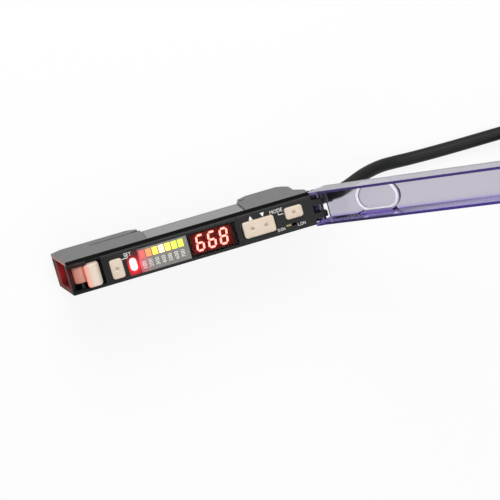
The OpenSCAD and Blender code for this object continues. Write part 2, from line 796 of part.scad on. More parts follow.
module bar_scale() {
    color("#7d7873") at_panel() difference() {
        window_plate(scale_x, display_x - fit_gap);
        for (i = [0 : 6]) upright(light_at(i), light_y, window_z - cut, case_h)
            square([light_w + 2 * fit_gap, light_l + 2 * fit_gap], center = true);
    }
}

module bar_light(i) {
    color(light_colours[i]) at_panel()
        upright(light_at(i), light_y, board_top + led_t + 0.1, case_h - window_drop)
        square([light_w, light_l], center = true);
}

module bar_leds() {
    led_inset = 0.3;
    color("#e8e4dc") at_panel() for (i = [0 : 6])
        upright(light_at(i), light_y, board_top, board_top + led_t)
        square([light_w, light_l - 2 * led_inset], center = true);
}

module display_window() {
    color("#4a120e") at_panel() window_plate(display_x, display_end);
}

module digit_module() {
    color("#241312") at_panel() upright(digit_x, 0, board_top, board_top + module_h)
        square([module_l, module_w], center = true);
}

// Strokes that light in each digit: top, top right, low right, bottom, low left, top left, middle
lit_strokes = [[1, 0, 1, 1, 1, 1, 1], [1, 0, 1, 1, 1, 1, 1], [1, 1, 1, 1, 1, 1, 1]];

module digit(i) {
    across_l = digit_w - stroke_w - stroke_gap;
    reach = (digit_h - stroke_w) / 2;
    side_x = (digit_w - stroke_w) / 2;
    up = [upright_stroke(reach - stroke_gap)];
    flat = [level_stroke(across_l)];
    strokes = [
        leaned(flat[0], 0, reach), leaned(up[0], side_x, reach / 2), leaned(up[0], side_x, -reach / 2),
        leaned(flat[0], 0, -reach), leaned(up[0], -side_x, -reach / 2), leaned(up[0], -side_x, reach / 2),
        leaned(flat[0], 0, 0)
    ];
    face = board_top + module_h;
    color("#ff8d80") at_panel()
        upright(digit_x + (i - 1) * digit_pitch, digit_y, face, face + stroke_t)
        for (k = [0 : 6]) if (lit_strokes[i][k] == 1) polygon(strokes[k]);
}

// Shallow round hollow in the top of a key
module dimple(x, y, top) {
    translate([x, y, top + dimple_r - dimple_t]) sphere(dimple_r);
}

// Key with rounded corners, a lug at each end to hold it in and a leg over its dome
module press_key(x, y, l, w) {
    top = case_h + key_rise;
    difference() {
        union() {
            upright(x, y, cap_low, top) rounded(l, w, key_corner);
            upright(x, y, cap_low, cap_low + lug_t)
                square([l + 2 * key_lug, w - 2 * key_corner], center = true);
            upright(x, y, leg_low, cap_low + cut) circle(leg_r);
        }
        dimple(x, y, top);
    }
}

module set_key() {
    color("#ecdfc9") at_panel() press_key(set_x, set_y, set_l, set_w);
}

module mode_key() {
    color("#ecdfc9") at_panel() press_key(mode_x, mode_y, mode_l, mode_w);
}

// Key that rocks on two trunnions, with a leg over each of its domes
module rocker_key() {
    top = case_h + rocker_rise;
    pivot_z = case_h - trunnion_depth;
    trunnion_end = half_room + trunnion_seat - 0.1;
    color("#ecdfc9") at_panel() difference() {
        union() {
            upright(rocker_x, rocker_y, cap_low, top) rounded(rocker_l, rocker_w, key_corner);
            block(rocker_x - 1, rocker_x + 1, -half_room + 0.2, half_room - 0.2,
                pivot_z - trunnion_r, cap_low + cut);
            rod_across(rocker_x, pivot_z, trunnion_r, -trunnion_end, trunnion_end);
            for (side = [-1, 1]) upright(rocker_x + side * rocker_arm, rocker_y, leg_low, cap_low + cut)
                circle(leg_r);
        }
        for (side = [-1, 1]) dimple(rocker_x + side * rocker_thumb, rocker_y, top);
    }
}

// Knob at the D.ON end of its slot, with a foot that rides on the switch
module selector_knob() {
    x = selector_x - selector_l / 2 + knob_gap + knob_l / 2;
    foot_z = board_top + switch_h + leg_gap;
    color("#d8d4cb") at_panel() {
        upright(x, selector_y, foot_z, case_h - 0.1)
            square([knob_l, selector_w - 2 * knob_gap], center = true);
        upright(x, selector_y, foot_z, foot_z + 0.5)
            square([knob_l + 0.6, selector_w + 0.4], center = true);
    }
}

module selector_switch() {
    color("#26272a") at_panel() upright(selector_x, selector_y, board_top, board_top + switch_h)
        square([switch_l, switch_w], center = true);
}

module dome(x, y) {
    color("gainsboro") at_panel() translate([x, y, board_top])
        cylinder(h = dome_t, r1 = dome_r, r2 = dome_r / 2);
}

module display_board() {
    color("#1f5a38") at_panel() block(room_x + 0.2, room_end - 0.2, broad_y + fit_gap, parting_y - fit_gap,
        board_top - board_t, board_top);
}

main_x = block_end + can_l;
main_l = bush_in - main_end - main_x;
main_y = parting_y - main_gap;

module main_board() {
    color("#1f5a38") at_panel() block(main_x, main_x + main_l, main_y - board_t, main_y,
        floor_z + fit_gap, board_top - board_t - fit_gap);
}

module processor() {
    chip_x = main_x + chip_run;
    chip_z = (floor_z + board_top - chip_l) / 2;
    chip_y = main_y - board_t;
    color("#1b1c1f") at_panel()
        block(chip_x, chip_x + chip_l, chip_y - chip_t, chip_y, chip_z, chip_z + chip_l);
}

// One long wall of the cover, rounded at its hinge
module cover_side(y0, y1) {
    across([
        [-heel, -roof_out], [cover_l, -roof_out], [cover_l, rim], [0, rim], [-heel, 0]
    ], y0, y1);
    rod_across(0, 0, arm_r, y0, y1);
}

// Clear cover, drawn along its own length from the hinge with its roof below, then raised
module dust_cover() {
    color("#b9abd6", 0.55) at_panel() translate([hinge_x, 0, hinge_z]) rotate([0, -cover_angle, 0])
    difference() {
        union() {
            block(-heel, cover_l, -half_w, half_w, -roof_out, -roof_in);
            cover_side(cover_in, half_w);
            cover_side(-half_w, -cover_in);
            block(cover_l - cover_wall, cover_l, -half_w, half_w, -roof_out, -hinge_depth - 0.5);
            block(oval_run - rib_l / 2, oval_run + rib_l / 2, -half_w, rib_t - cover_in,
                -roof_in, rib_h - roof_in);
            rod_across(0, 0, hinge_r, -half_w, half_w);
            upright(oval_run, 0, -roof_out - oval_t, -roof_in) stadium(oval_l + 1.4, oval_w + 1.4);
        }
        upright(oval_run, 0, -roof_in - oval_t, -roof_in + cut) stadium(oval_l, oval_w);
    }
}

// Bush that grips the rear wall between two collars and tapers along the cable
module cable_bush() {
    inner = rear_x - rear_t;
    tail = rear_x + collar_t;
    color("#222324") at_panel() union() {
        rod_along(bush_in, inner, 0, bush_z, collar_r, collar_r);
        rod_along(inner, rear_x, 0, bush_z, shank_r, shank_r);
        rod_along(rear_x, tail, 0, bush_z, collar_r, collar_r);
        rod_along(tail, bush_end, 0, bush_z, collar_r - 0.3, cable_r + 0.35);
    }
}

module cable() {
    color("#2b2d2d") at_panel() cord(cable_route, cable_r, 10);
}

// The coil's turns as one oval ring: a loop at each end and a straight side between them
module cable_coil() {
    color("#2b2d2d") at_panel() translate([coil_x, coil_y, coil_z + coil_h / 2]) {
        for (end = [0, 1]) translate([end * coil_l, 0, 0]) rotate([0, 0, 90 - 180 * end])
            rotate_extrude(angle = 180) translate([coil_r, 0]) rounded(coil_out - coil_in, coil_h, cable_r);
        for (side = [-1, 1]) translate([0, side * coil_r, 0]) rotate([90, 0, 90])
            linear_extrude(coil_l) rounded(coil_out - coil_in, coil_h, cable_r);
    }
}

module cable_tail() {
    color("#2b2d2d") at_panel() cord(tail_route, cable_r, 10);
}

// Flat tie closed round one straight side of the coil
module coil_tie() {
    slack = 0.2;
    tie_x = coil_x + 1;
    tie_in = coil_half + cable_r + slack;
    tie_out = tie_in + tie_t;
    color("#3d3f40") at_panel() translate([tie_x, coil_y - coil_r, coil_z]) difference() {
        block(0, tie_w, -tie_out, tie_out, -tie_t, coil_h + tie_t);
        block(-cut, tie_w + cut, -tie_in, tie_in, 0, coil_h);
    }
}

// Three bare leads that fan out on the coil from the end of the tail
module lead(side) {
    color(["#6b3f22", "#2a5fb0", "#202122"][side + 1]) at_panel() cord([
        tail_tip + [0, 1.2 * side, 0], tail_tip + [-4, 1.4 * side, -0.5], tail_tip + [-9, 2.2 * side, -1.2],
        tail_tip + [-14, 3.3 * side, -1.4], tail_tip + [-19, 4.6 * side, -1.4]
    ], lead_r, 8);
}

case_body();
side_cover();
side_label();
fibre_block();
fibre_clamp();
lock_lever();
lever_pin();
emitter();
receiver();
status_window();
status_lens();
status_led();
bar_scale();
for (i = [0 : 6]) bar_light(i);
bar_leds();
display_window();
digit_module();
for (i = [0 : 2]) digit(i);
set_key();
rocker_key();
mode_key();
selector_knob();
selector_switch();
dome(set_x, set_y);  // set_dome
dome(rocker_x - rocker_arm, rocker_y);  // up_dome
dome(rocker_x + rocker_arm, rocker_y);  // down_dome
dome(mode_x, mode_y);  // mode_dome
display_board();
main_board();
processor();
dust_cover();
cable_bush();
cable();
cable_coil();
cable_tail();
coil_tie();
lead(-1);  // lead_brown
lead(0);  // lead_blue
lead(1);  // lead_black
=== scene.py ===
"""Slim rail-mounted fibre optic amplifier with its clear dust cover raised: finish, light and camera.

Lengths are in millimetres along the panel until place() turns them into metres in the part's own frame.
"""

import bmesh
import bpy
import numpy as np
from mathutils import Matrix, Vector


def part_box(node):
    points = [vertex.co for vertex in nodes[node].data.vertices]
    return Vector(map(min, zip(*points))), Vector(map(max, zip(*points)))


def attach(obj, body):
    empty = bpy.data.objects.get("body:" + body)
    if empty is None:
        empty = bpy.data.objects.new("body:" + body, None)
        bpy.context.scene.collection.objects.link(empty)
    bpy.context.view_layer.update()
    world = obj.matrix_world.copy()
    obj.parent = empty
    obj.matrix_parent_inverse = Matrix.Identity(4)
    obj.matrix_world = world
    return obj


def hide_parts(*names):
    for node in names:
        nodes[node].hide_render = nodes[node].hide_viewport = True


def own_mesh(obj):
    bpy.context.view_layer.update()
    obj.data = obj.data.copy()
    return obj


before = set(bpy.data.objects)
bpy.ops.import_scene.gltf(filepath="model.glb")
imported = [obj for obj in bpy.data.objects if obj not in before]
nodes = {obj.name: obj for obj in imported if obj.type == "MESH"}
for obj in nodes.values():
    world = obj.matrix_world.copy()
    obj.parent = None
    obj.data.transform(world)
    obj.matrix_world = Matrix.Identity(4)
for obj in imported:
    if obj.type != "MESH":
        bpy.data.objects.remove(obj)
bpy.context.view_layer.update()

# Measures that several pieces share

MM = 0.001
RAIL_X = 39.0
PANEL_Z = 30.0
FILM_Z = 29.9
BOARD_Z = 24.0
CAP_LOW = 28.0
SINK = 0.05


def place(points):
    """Millimetres from the panel's fibre end, turned into metres from the middle of the rail slot."""
    return (np.asarray(points, float) - np.array([RAIL_X, 0.0, 0.0])) * MM


# Camera

CAMERA_AT = (0.1, 81.9, 506.4)
CAMERA_FORWARD = (0.1058, -0.1802, -0.9779)
CAMERA_UP = (0.2814, 0.9487, -0.1443)
CAMERA_LENS = 122.5


def look(at_mm, forward, up, lens):
    """Camera at a point, with its axes from the view direction and the up direction."""
    camera = bpy.data.cameras.new("camera")
    camera.lens = lens
    camera.sensor_width = 36.0
    camera.clip_start = 0.01
    camera.clip_end = 20.0
    view = bpy.data.objects.new("camera", camera)
    bpy.context.scene.collection.objects.link(view)
    back = -Vector(forward).normalized()
    side = Vector(up).cross(back).normalized()
    top = back.cross(side)
    turn = Matrix((side, top, back)).transposed().to_4x4()
    view.matrix_world = Matrix.Translation(Vector(place(at_mm))) @ turn
    bpy.context.scene.camera = view


look(CAMERA_AT, CAMERA_FORWARD, CAMERA_UP, CAMERA_LENS)

# Outlines and shells


def ease(t):
    """Smooth step from 0 to 1: t squared times (3 - 2t), held at its ends."""
    t = np.clip(t, 0, 1)
    return t * t * (3 - 2 * t)


def smooth_line(points, count):
    """A Catmull-Rom curve through the points: on each span the usual cubic of four neighbours."""
    p = np.asarray(points, float)
    p = np.concatenate([[2 * p[0] - p[1]], p, [2 * p[-1] - p[-2]]])
    spans = len(p) - 3
    t = np.linspace(0, spans, count)
    i = np.minimum(t.astype(int), spans - 1)
    u = (t - i)[:, None]
    a, b, c, d = p[i], p[i + 1], p[i + 2], p[i + 3]
    square = 2 * a - 5 * b + 4 * c - d
    cube = 3 * b - a - 3 * c + d
    return 0.5 * (2 * b + (c - a) * u + square * u ** 2 + cube * u ** 3)


def rounded_ring(length, width, corner, steps=10):
    """Points round a rounded rectangle about the origin: a quarter circle at each corner."""
    turn = np.radians(np.linspace(0, 90, steps + 1)[None, :] + 90.0 * np.arange(4)[:, None]).ravel()
    signs = np.repeat([(1, 1), (-1, 1), (-1, -1), (1, -1)], steps + 1, axis=0)
    middle = signs * (np.array([length, width]) / 2 - corner)
    return middle + corner * np.stack([np.cos(turn), np.sin(turn)], axis=-1)


def even_ring(ring, count=160):
    """The same closed outline with its points spread evenly along its length."""
    closed = np.concatenate([ring, ring[:1]])
    passed = np.concatenate([[0], np.cumsum(np.linalg.norm(np.diff(closed, axis=0), axis=1))])
    at = np.linspace(0, passed[-1], count, endpoint=False)
    return np.stack([np.interp(at, passed, closed[:, k]) for k in range(2)], axis=-1)


def level(ring, z):
    """A flat ring of x and y lifted to a height, which may differ from point to point."""
    return np.concatenate([ring, np.broadcast_to(z, len(ring))[:, None]], axis=1)


def upright(ring, x):
    """A flat ring of y and z set across the case at one place along it."""
    return np.insert(np.asarray(ring, float), 0, x, axis=1)


def grid_faces(rows, columns, around=False, closed=False):
    """Quads between neighbouring rows of a grid, closed round each row, or from the last row to the first."""
    row, column = np.meshgrid(np.arange(rows if closed else rows - 1),
                              np.arange(columns if around else columns - 1), indexing="ij")
    below = (row + 1) % rows
    beside = (column + 1) % columns
    quads = np.stack([row * columns + column, row * columns + beside,
                      below * columns + beside, below * columns + column], axis=-1)
    return quads.reshape(-1, 4).tolist()


def loft(rings):
    """Rings of equal count joined into a closed shell, with a flat face on the first and on the last ring."""
    rings = np.asarray(rings, float)
    count, sides = rings.shape[:2]
    faces = grid_faces(count, sides, around=True)
    faces += [list(range(sides))[::-1], list(range((count - 1) * sides, count * sides))]
    return rings.reshape(-1, 3), faces


def loop(rings):
    """Rings of equal count joined into a shell that closes on itself both ways."""
    rings = np.asarray(rings, float)
    return rings.reshape(-1, 3), grid_faces(*rings.shape[:2], around=True, closed=True)


def prism(ring, low, high):
    """A flat ring carried straight up from one height to another."""
    return loft([level(ring, low), level(ring, high)])


def tube(route, radius, sides):
    """A round profile carried along a route: radius times (cos, sin) on two axes square to the route."""
    route = np.asarray(route, float)
    heading = np.gradient(route, axis=0)
    heading /= np.linalg.norm(heading, axis=1, keepdims=True)
    beside = np.cross(heading, [0.0, 0.0, 1.0])
    beside /= np.linalg.norm(beside, axis=1, keepdims=True)
    above = np.cross(beside, heading)
    radius = np.broadcast_to(np.asarray(radius, float), len(route))[:, None, None]
    turn = np.linspace(0, 2 * np.pi, sides, endpoint=False)[None, :, None]
    return loft(route[:, None] + radius * (np.cos(turn) * beside[:, None] + np.sin(turn) * above[:, None]))


# Pieces from shells

# Points of a shell nearer than this, in metres, become one
SHELL_MERGE = 1e-8


def mesh_object(name, points, faces, smooth=True):
    """A mesh at the origin from an array of points in metres and a list of faces."""
    mesh = bpy.data.meshes.new(name)
    mesh.from_pydata(np.asarray(points).tolist(), [], faces)
    mesh.validate()
    mesh.polygons.foreach_set("use_smooth", np.full(len(mesh.polygons), smooth))
    mesh.update()
    piece = bpy.data.objects.new(name, mesh)
    bpy.context.scene.collection.objects.link(piece)
    return piece


def join(shells):
    """Several (points, faces) shells as one, with each shell's face numbers moved on."""
    points = np.concatenate([shell_points for shell_points, _ in shells])
    faces = []
    start = 0
    for shell_points, shell_faces in shells:
        faces += [[corner + start for corner in face] for face in shell_faces]
        start += len(shell_points)
    return points, faces


def face_outwards(piece):
    """Merges a closed shell's doubles and turns its faces outwards."""
    work = bmesh.new()
    work.from_mesh(piece.data)
    bmesh.ops.remove_doubles(work, verts=work.verts, dist=SHELL_MERGE)
    bmesh.ops.recalc_face_normals(work, faces=work.faces)
    work.to_mesh(piece.data)
    work.free()
    return piece


def add_piece(name, shells, body, smooth=True):
    """A piece from shells in millimetres, which rides on a body."""
    points, faces = join(shells)
    piece = mesh_object(name, place(points), faces, smooth)
    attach(piece, body)
    return piece


def stand_for(name, shells, body, *names):
    """A piece from closed shells, which replaces CAD nodes."""
    piece = face_outwards(add_piece(name, shells, body))
    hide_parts(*names)
    return piece


# Cable

BUSH_END = 82.0
BUSH_Z = 10.0
CABLE_R = 2.0
CABLE_ROUTE = [
    (BUSH_END, 0, BUSH_Z), (BUSH_END + 2.5, 0, BUSH_Z), (88, 0.8, 9.2), (92, 1.9, 7.5), (96, 2.5, 5.4),
    (100, 2.7, 3.6), (104, 2.5, 2.5), (109, 2.2, 2.1), (116, 2, 2), (124, 1.9, 2), (133, 1.9, 2),
    (142, 1.9, 2.1), (151, 1.9, 2.4), (160, 1.9, 2.6),
]
ROUTE_STEPS = 120
COIL_X = 160.0
COIL_SIDE = 1.9
COIL_R = 16.0
COIL_L = 26.0
COIL_Z = 0.6
COIL_LAYERS = 6
COIL_TURNS = 2
COIL_HALF = COIL_TURNS * CABLE_R
COIL_Y = COIL_SIDE - COIL_R - COIL_HALF
TURN_STEPS = 90
CLIMB_TURNS = 0.14
TAIL_R = COIL_R - 1
TAIL_Z = COIL_Z + CABLE_R * (2 * COIL_LAYERS + 1)
TAIL_SHARE = 0.7


def oval(turns, radius, height):
    """Points on an oval with straight sides, at a count of turns from the start of its +Y side.

    A turn is a straight run, a half circle, the run back and the other half circle, each in proportion
    to its length at the middle of the coil.
    """
    half_circle = np.pi * COIL_R
    gone = (turns % 1) * 2 * (COIL_L + half_circle)
    back = gone >= COIL_L + half_circle
    gone = gone - back * (COIL_L + half_circle)
    run = np.minimum(gone / COIL_L, 1)
    angle = np.pi / 2 - np.pi * np.clip((gone - COIL_L) / half_circle, 0, 1)
    x = COIL_L * (run - 0.5) + radius * np.cos(angle)
    y = radius * np.sin(angle)
    side = np.where(back, -1, 1)
    return np.stack([COIL_X + COIL_L / 2 + side * x, COIL_Y + side * y, height + 0 * x], axis=-1)


def coil_layer(layer):
    """One flat layer of the coil, inwards on even layers and outwards on odd ones.

    The radius changes evenly by one cable diameter a turn. The climb to the next layer is a smooth step
    shared by the two layers' adjoining parts of a turn.
    """
    turns = np.linspace(0, COIL_TURNS, TURN_STEPS * COIL_TURNS + 1)[1:]
    way = 1 if layer % 2 == 0 else -1
    radius = COIL_R + COIL_HALF * (1 - 2 * turns / COIL_TURNS) * way
    height = np.full_like(turns, COIL_Z + CABLE_R * (2 * layer + 1))
    if layer < COIL_LAYERS - 1:
        height += 2 * CABLE_R * ease((turns - COIL_TURNS + CLIMB_TURNS) / (2 * CLIMB_TURNS))
    if layer > 0:
        height -= 2 * CABLE_R * (1 - ease((turns + CLIMB_TURNS) / (2 * CLIMB_TURNS)))
    return oval(turns, radius, height)


def tail_line():
    """The tail on the coil's top: it climbs along a straight side, moves in and goes round the far loop.

    The climb is a smooth step over the first seven tenths of the side, and the move in over the last seven.
    """
    t = np.linspace(0, 1, 24)[1:]
    inwards = (COIL_R + COIL_HALF - TAIL_R) * ease((t - 1 + TAIL_SHARE) / TAIL_SHARE)
    height = TAIL_Z - 2 * CABLE_R * (1 - ease(t / TAIL_SHARE))
    side = np.stack([COIL_X + COIL_L * t, COIL_SIDE - inwards, height], axis=-1)
    turn = np.radians(np.linspace(90, -90, 36)[1:])
    far_loop = np.stack([COIL_X + COIL_L + TAIL_R * np.cos(turn), COIL_Y + TAIL_R * np.sin(turn),
                         TAIL_Z + 0 * turn], axis=-1)
    return np.concatenate([side, far_loop])


def cable_line():
    """The whole cable: the listed run, the coil layer by layer, and the tail."""
    layers = [coil_layer(layer) for layer in range(COIL_LAYERS)]
    return np.concatenate([smooth_line(CABLE_ROUTE, ROUTE_STEPS), *layers, tail_line()])


cable_points = cable_line()
cable_shell = tube(cable_points, CABLE_R, sides=18)
cable = stand_for("cable_run", [cable_shell], "case", "cable", "cable_coil", "cable_tail")

# Bush, leads and tie of the cable

# The bush's outline is given as (place along the panel, radius)
BUSH_COLLARS = [(68.0, 2.9), (68.15, 3.15), (68.3, 3.2), (68.9, 3.2), (69.0, 2.5), (70.4, 2.5), (70.42, 3.1),
                (70.55, 3.2), (71.25, 3.2), (71.4, 3.1)]
BUSH_TIP = [(BUSH_END - 0.1, 2.33), (BUSH_END, 2.2)]
TAPER_X = (71.41, BUSH_END - 0.3)
TAPER_R = 2.9
TAPER_FALL = 0.5
GROOVES = 6
GROOVE_T = 0.32
FIRST_GROOVE = 0.09
PLAIN_END = 0.06
LEAD_R = 0.6
LEAD_TIP_R = 0.38
LEAD_POINTS = 48
WIRE_END = 38
TIP_START = 36
# A lead's points from the tail's tip: (along, apart from the middle lead, up)
LEAD_STEPS = [(0, 1.2, 0), (-4, 1.4, -0.5), (-9, 2.2, -1.2), (-14, 3.3, -1.4), (-19, 4.6, -1.4)]
LEAD_SIDES = {"lead_brown": -1, "lead_blue": 0, "lead_black": 1}
TAIL_TIP = np.array([COIL_X + COIL_L, COIL_Y - TAIL_R, TAIL_Z])
STRAP_X = COIL_X + 1
STRAP_W = 4.0
STRAP_T = 0.6
STRAP_ROOM = 0.2
STRAP_CORNER = 1.2
BUCKLE_SIZE = np.array([5.0, 4.2])
BUCKLE_CORNER = 0.7
BUCKLE_OFF = 2.5
BUCKLE_SINK = 0.5
# The buckle's rings from below: (inset, rise)
BUCKLE_STEPS = ((0.0, 0.0), (0.0, 1.2), (0.1, 1.5), (0.35, 1.7))


def bush_line():
    """The cable's bush as a radius along its length: two collars with a shank between, and a ribbed taper.

    On the taper the radius falls evenly, less a groove: its depth times the fifth power of a cosine where
    that is positive, six to the length and eased away at both ends.
    """
    x = np.linspace(*TAPER_X, 140)
    t = (x - x[0]) / (x[-1] - x[0])
    wave = np.clip(np.cos(2 * np.pi * GROOVES * (t - FIRST_GROOVE)), 0, 1) ** 5
    groove = GROOVE_T * wave * ease(t / PLAIN_END) * ease((1 - t) / PLAIN_END)
    taper = np.stack([x, TAPER_R - TAPER_FALL * t - groove], axis=-1)
    x, radius = np.concatenate([BUSH_COLLARS, taper, BUSH_TIP]).T
    return np.stack([x, 0 * x, BUSH_Z + 0 * x], axis=-1), radius


def tie_strap():
    """A flat strap closed round one straight side of the coil, with a raised buckle on its top.

    The strap's rings are rounded rectangles across the coil at its inner and outer faces, at both of its
    edges. The buckle's rings are rounded rectangles, each with an inset and a rise.
    """
    inner = COIL_HALF + CABLE_R + STRAP_ROOM
    height = 2 * CABLE_R * COIL_LAYERS
    middle = np.array([COIL_Y - COIL_R, COIL_Z + height / 2])
    far = STRAP_X + STRAP_W
    edges = ((STRAP_X, 0), (far, 0), (far, STRAP_T), (STRAP_X, STRAP_T))
    strap = [upright(rounded_ring(2 * (inner + out), height + 2 * out, STRAP_CORNER + out) + middle, x)
             for x, out in edges]
    spot = np.array([STRAP_X + STRAP_W / 2, COIL_Y - COIL_R - BUCKLE_OFF])
    low = COIL_Z + height + STRAP_T - BUCKLE_SINK
    buckle = [level(rounded_ring(*(BUCKLE_SIZE - 2 * inset), BUCKLE_CORNER - inset) + spot, low + rise)
              for inset, rise in BUCKLE_STEPS]
    return [loop(strap), loft(buckle)]


bush = stand_for("strain_bush", [tube(*bush_line(), sides=40)], "case", "cable_bush")
leads = {}
for lead_name, lead_side in LEAD_SIDES.items():
    line = smooth_line(TAIL_TIP + np.array(LEAD_STEPS) * (1, lead_side, 1), LEAD_POINTS)
    wire = tube(line[:WIRE_END], LEAD_R, sides=14)
    tip = tube(line[TIP_START:], LEAD_TIP_R, sides=12)
    leads[lead_name] = stand_for(lead_name + "_wire", [wire], "case", lead_name)
    leads[lead_name + "_tip"] = face_outwards(add_piece(lead_name + "_tip", [tip], "case"))
tie = stand_for("tie_strap", tie_strap(), "case", "coil_tie")

# Keys

KEY_CORNER = 0.8
KEY_FILLET = 0.4
KEY_RISE = 1.0
CROWN = 0.14
TOP_SHRINK = 0.03
HOLLOW_R = 0.8
HOLLOW_T = 0.35
# Radius of the painted shade in each finger hollow
PAINTED_SHADE_R = 0.6
LUG_OUT = 0.5
LUG_IN = 0.8
LUG_T = 0.5
LUG_CORNER = 0.1
LEG_R = 0.9
LEG_CORNER = LEG_R - 0.01
LEG_LOW = 24.35
SET_AT = (13.75, -0.2)
SET_SIZE = (3.7, 5.7)
MODE_AT = (66.6, 1.2)
MODE_SIZE = (5.3, 3.5)
ROCKER_AT = (55.9, -0.1)
ROCKER_SIZE = (9.4, 4.8)
ROCKER_RISE = 1.2
ROCKER_LEGS = [(ROCKER_AT[0] + side, ROCKER_AT[1]) for side in (-3.2, 3.2)]
ROCKER_HOLLOWS = [(ROCKER_AT[0] + side, ROCKER_AT[1]) for side in (-2, 2)]
BRIDGE_SIZE = (2.0, 6.0)
BRIDGE_CORNER = 0.2
BRIDGE_LOW = 26.8
TRUNNION_R = 0.6
TRUNNION_Y = 3.6
TRUNNION_Z = 27.4


def bowl(x, y, centre, radius, depth):
    """Depth of a round hollow: depth times (1 - (d / radius) squared) squared, and 0 outside the radius."""
    share = ((x - centre[0]) ** 2 + (y - centre[1]) ** 2) / radius ** 2
    return depth * np.clip(1 - share, 0, 1) ** 2


def cap(at, size, corner, low, fillet, height, rows=40):
    """A moulded cap: upright sides, a quarter-round fillet, and a top whose height is a function of x, y, s.

    s runs from 1 at the fillet's inner edge to nearly 0 in the middle, where the outline has almost
    shrunk to a point.
    """
    at = np.asarray(at, float)
    bend = np.radians(np.linspace(0, 90, 8))
    edge = [even_ring(rounded_ring(size[0] - 2 * inset, size[1] - 2 * inset, corner - inset)) + at
            for inset in fillet * (1 - np.cos(bend))]
    rings = [level(edge[0], low)]
    rings += [level(ring, height(*ring.T, 1.0) - fillet + rise)
              for ring, rise in zip(edge, fillet * np.sin(bend))]
    for s in np.linspace(1, TOP_SHRINK, rows)[1:]:
        inside = at + (edge[-1] - at) * s
        rings.append(level(inside, height(*inside.T, s)))
    return loft(rings)


def rod_across(x, z, radius, reach, bevel=0.1):
    """A round rod across the case, as far to either side, with a small bevel at each end."""
    turn = np.radians(np.arange(0, 360, 10))
    circle = np.stack([np.cos(turn), 0 * turn, np.sin(turn)], axis=-1)
    ends = ((-reach, radius - bevel), (bevel - reach, radius),
            (reach - bevel, radius), (reach, radius - bevel))
    return loft([np.array([x, y, z]) + r * circle for y, r in ends])


def leg(x, y):
    """The round leg under a key, above its snap dome."""
    return prism(rounded_ring(2 * LEG_R, 2 * LEG_R, LEG_CORNER) + (x, y), LEG_LOW, CAP_LOW + SINK)


def mark_hollows(piece, centres):
    """Stores how far each point lies in a finger hollow, where shade is painted: a bowl of depth 2, held at
    1, on the top alone.
    """
    flat = np.empty(3 * len(piece.data.vertices))
    piece.data.vertices.foreach_get("co", flat)
    x, y, z = flat.reshape(-1, 3).T / MM
    share = sum(bowl(x + RAIL_X, y, centre, PAINTED_SHADE_R, depth=2.0) for centre in centres) * (z > PANEL_Z)
    hollow = piece.data.attributes.new("hollow", "FLOAT", "POINT")
    hollow.data.foreach_set("value", np.clip(share, 0, 1).astype(np.float32))
    return piece


def press_key(name, node, body, at, size):
    """A key with a soft top, a finger hollow, a lug at each end and a leg."""
    def height(x, y, s):
        """The rise of the key, less its crown times s squared and less the hollow."""
        return PANEL_Z + KEY_RISE - CROWN * s ** 2 - bowl(x, y, at, HOLLOW_R, HOLLOW_T)

    lugs = rounded_ring(size[0] + 2 * LUG_OUT, size[1] - 2 * LUG_IN, LUG_CORNER) + at
    shells = [cap(at, size, KEY_CORNER, CAP_LOW, KEY_FILLET, height), prism(lugs, CAP_LOW, CAP_LOW + LUG_T),
              leg(*at)]
    return mark_hollows(stand_for(name, shells, body, node), [at])


def rocker_shells():
    """The rocker: a long cap with a hollow for each way, its trunnions and a leg over each dome."""
    def height(x, y, s):
        """The rise of the rocker, less its crown times s squared and less the hollows."""
        hollows = sum(bowl(x, y, centre, HOLLOW_R, HOLLOW_T) for centre in ROCKER_HOLLOWS)
        return PANEL_Z + ROCKER_RISE - CROWN * s ** 2 - hollows

    bridge = prism(rounded_ring(*BRIDGE_SIZE, BRIDGE_CORNER) + (ROCKER_AT[0], 0), BRIDGE_LOW, CAP_LOW + SINK)
    return [cap(ROCKER_AT, ROCKER_SIZE, KEY_CORNER, CAP_LOW, KEY_FILLET, height, rows=60), bridge,
            rod_across(ROCKER_AT[0], TRUNNION_Z, TRUNNION_R, TRUNNION_Y), *[leg(*at) for at in ROCKER_LEGS]]


set_cap = press_key("set_cap", "set_key", "set", SET_AT, SET_SIZE)
mode_cap = press_key("mode_cap", "mode_key", "mode", MODE_AT, MODE_SIZE)
rocker_cap = mark_hollows(stand_for("rocker_cap", rocker_shells(), "rocker", "rocker_key"), ROCKER_HOLLOWS)

# Lock lever

PIN_X = 3.3
PIN_Z = 27.3
# Outlines of the hub, as (radius, place across), and of the wedge, as (place across, height)
HUB_OUTLINE = [(0.75, -1.5), (1.9, -1.5), (2.12, -1.42), (2.2, -1.2), (2.2, 3.0), (2.12, 3.22), (1.9, 3.3),
               (0.75, 3.3)]
WEDGE_OUTLINE = [(1.3, 24.65), (2.2, 24.65), (2.2, 25.7), (0.75, 25.7), (0.75, 25.2)]
WEDGE_X = (5.3, 6.9)
BAR_AT = (6.8, 0.0)
BAR_SIZE = (4.4, 6.6)
BAR_CORNER = 0.8
BAR_FILLET = 0.35
BAR_LOW = 25.2
BAR_RISE = 1.0
BAR_ARC = 6.0
BAR_FALL = 0.9
FALL_X = 7.6
FALL_L = 1.4


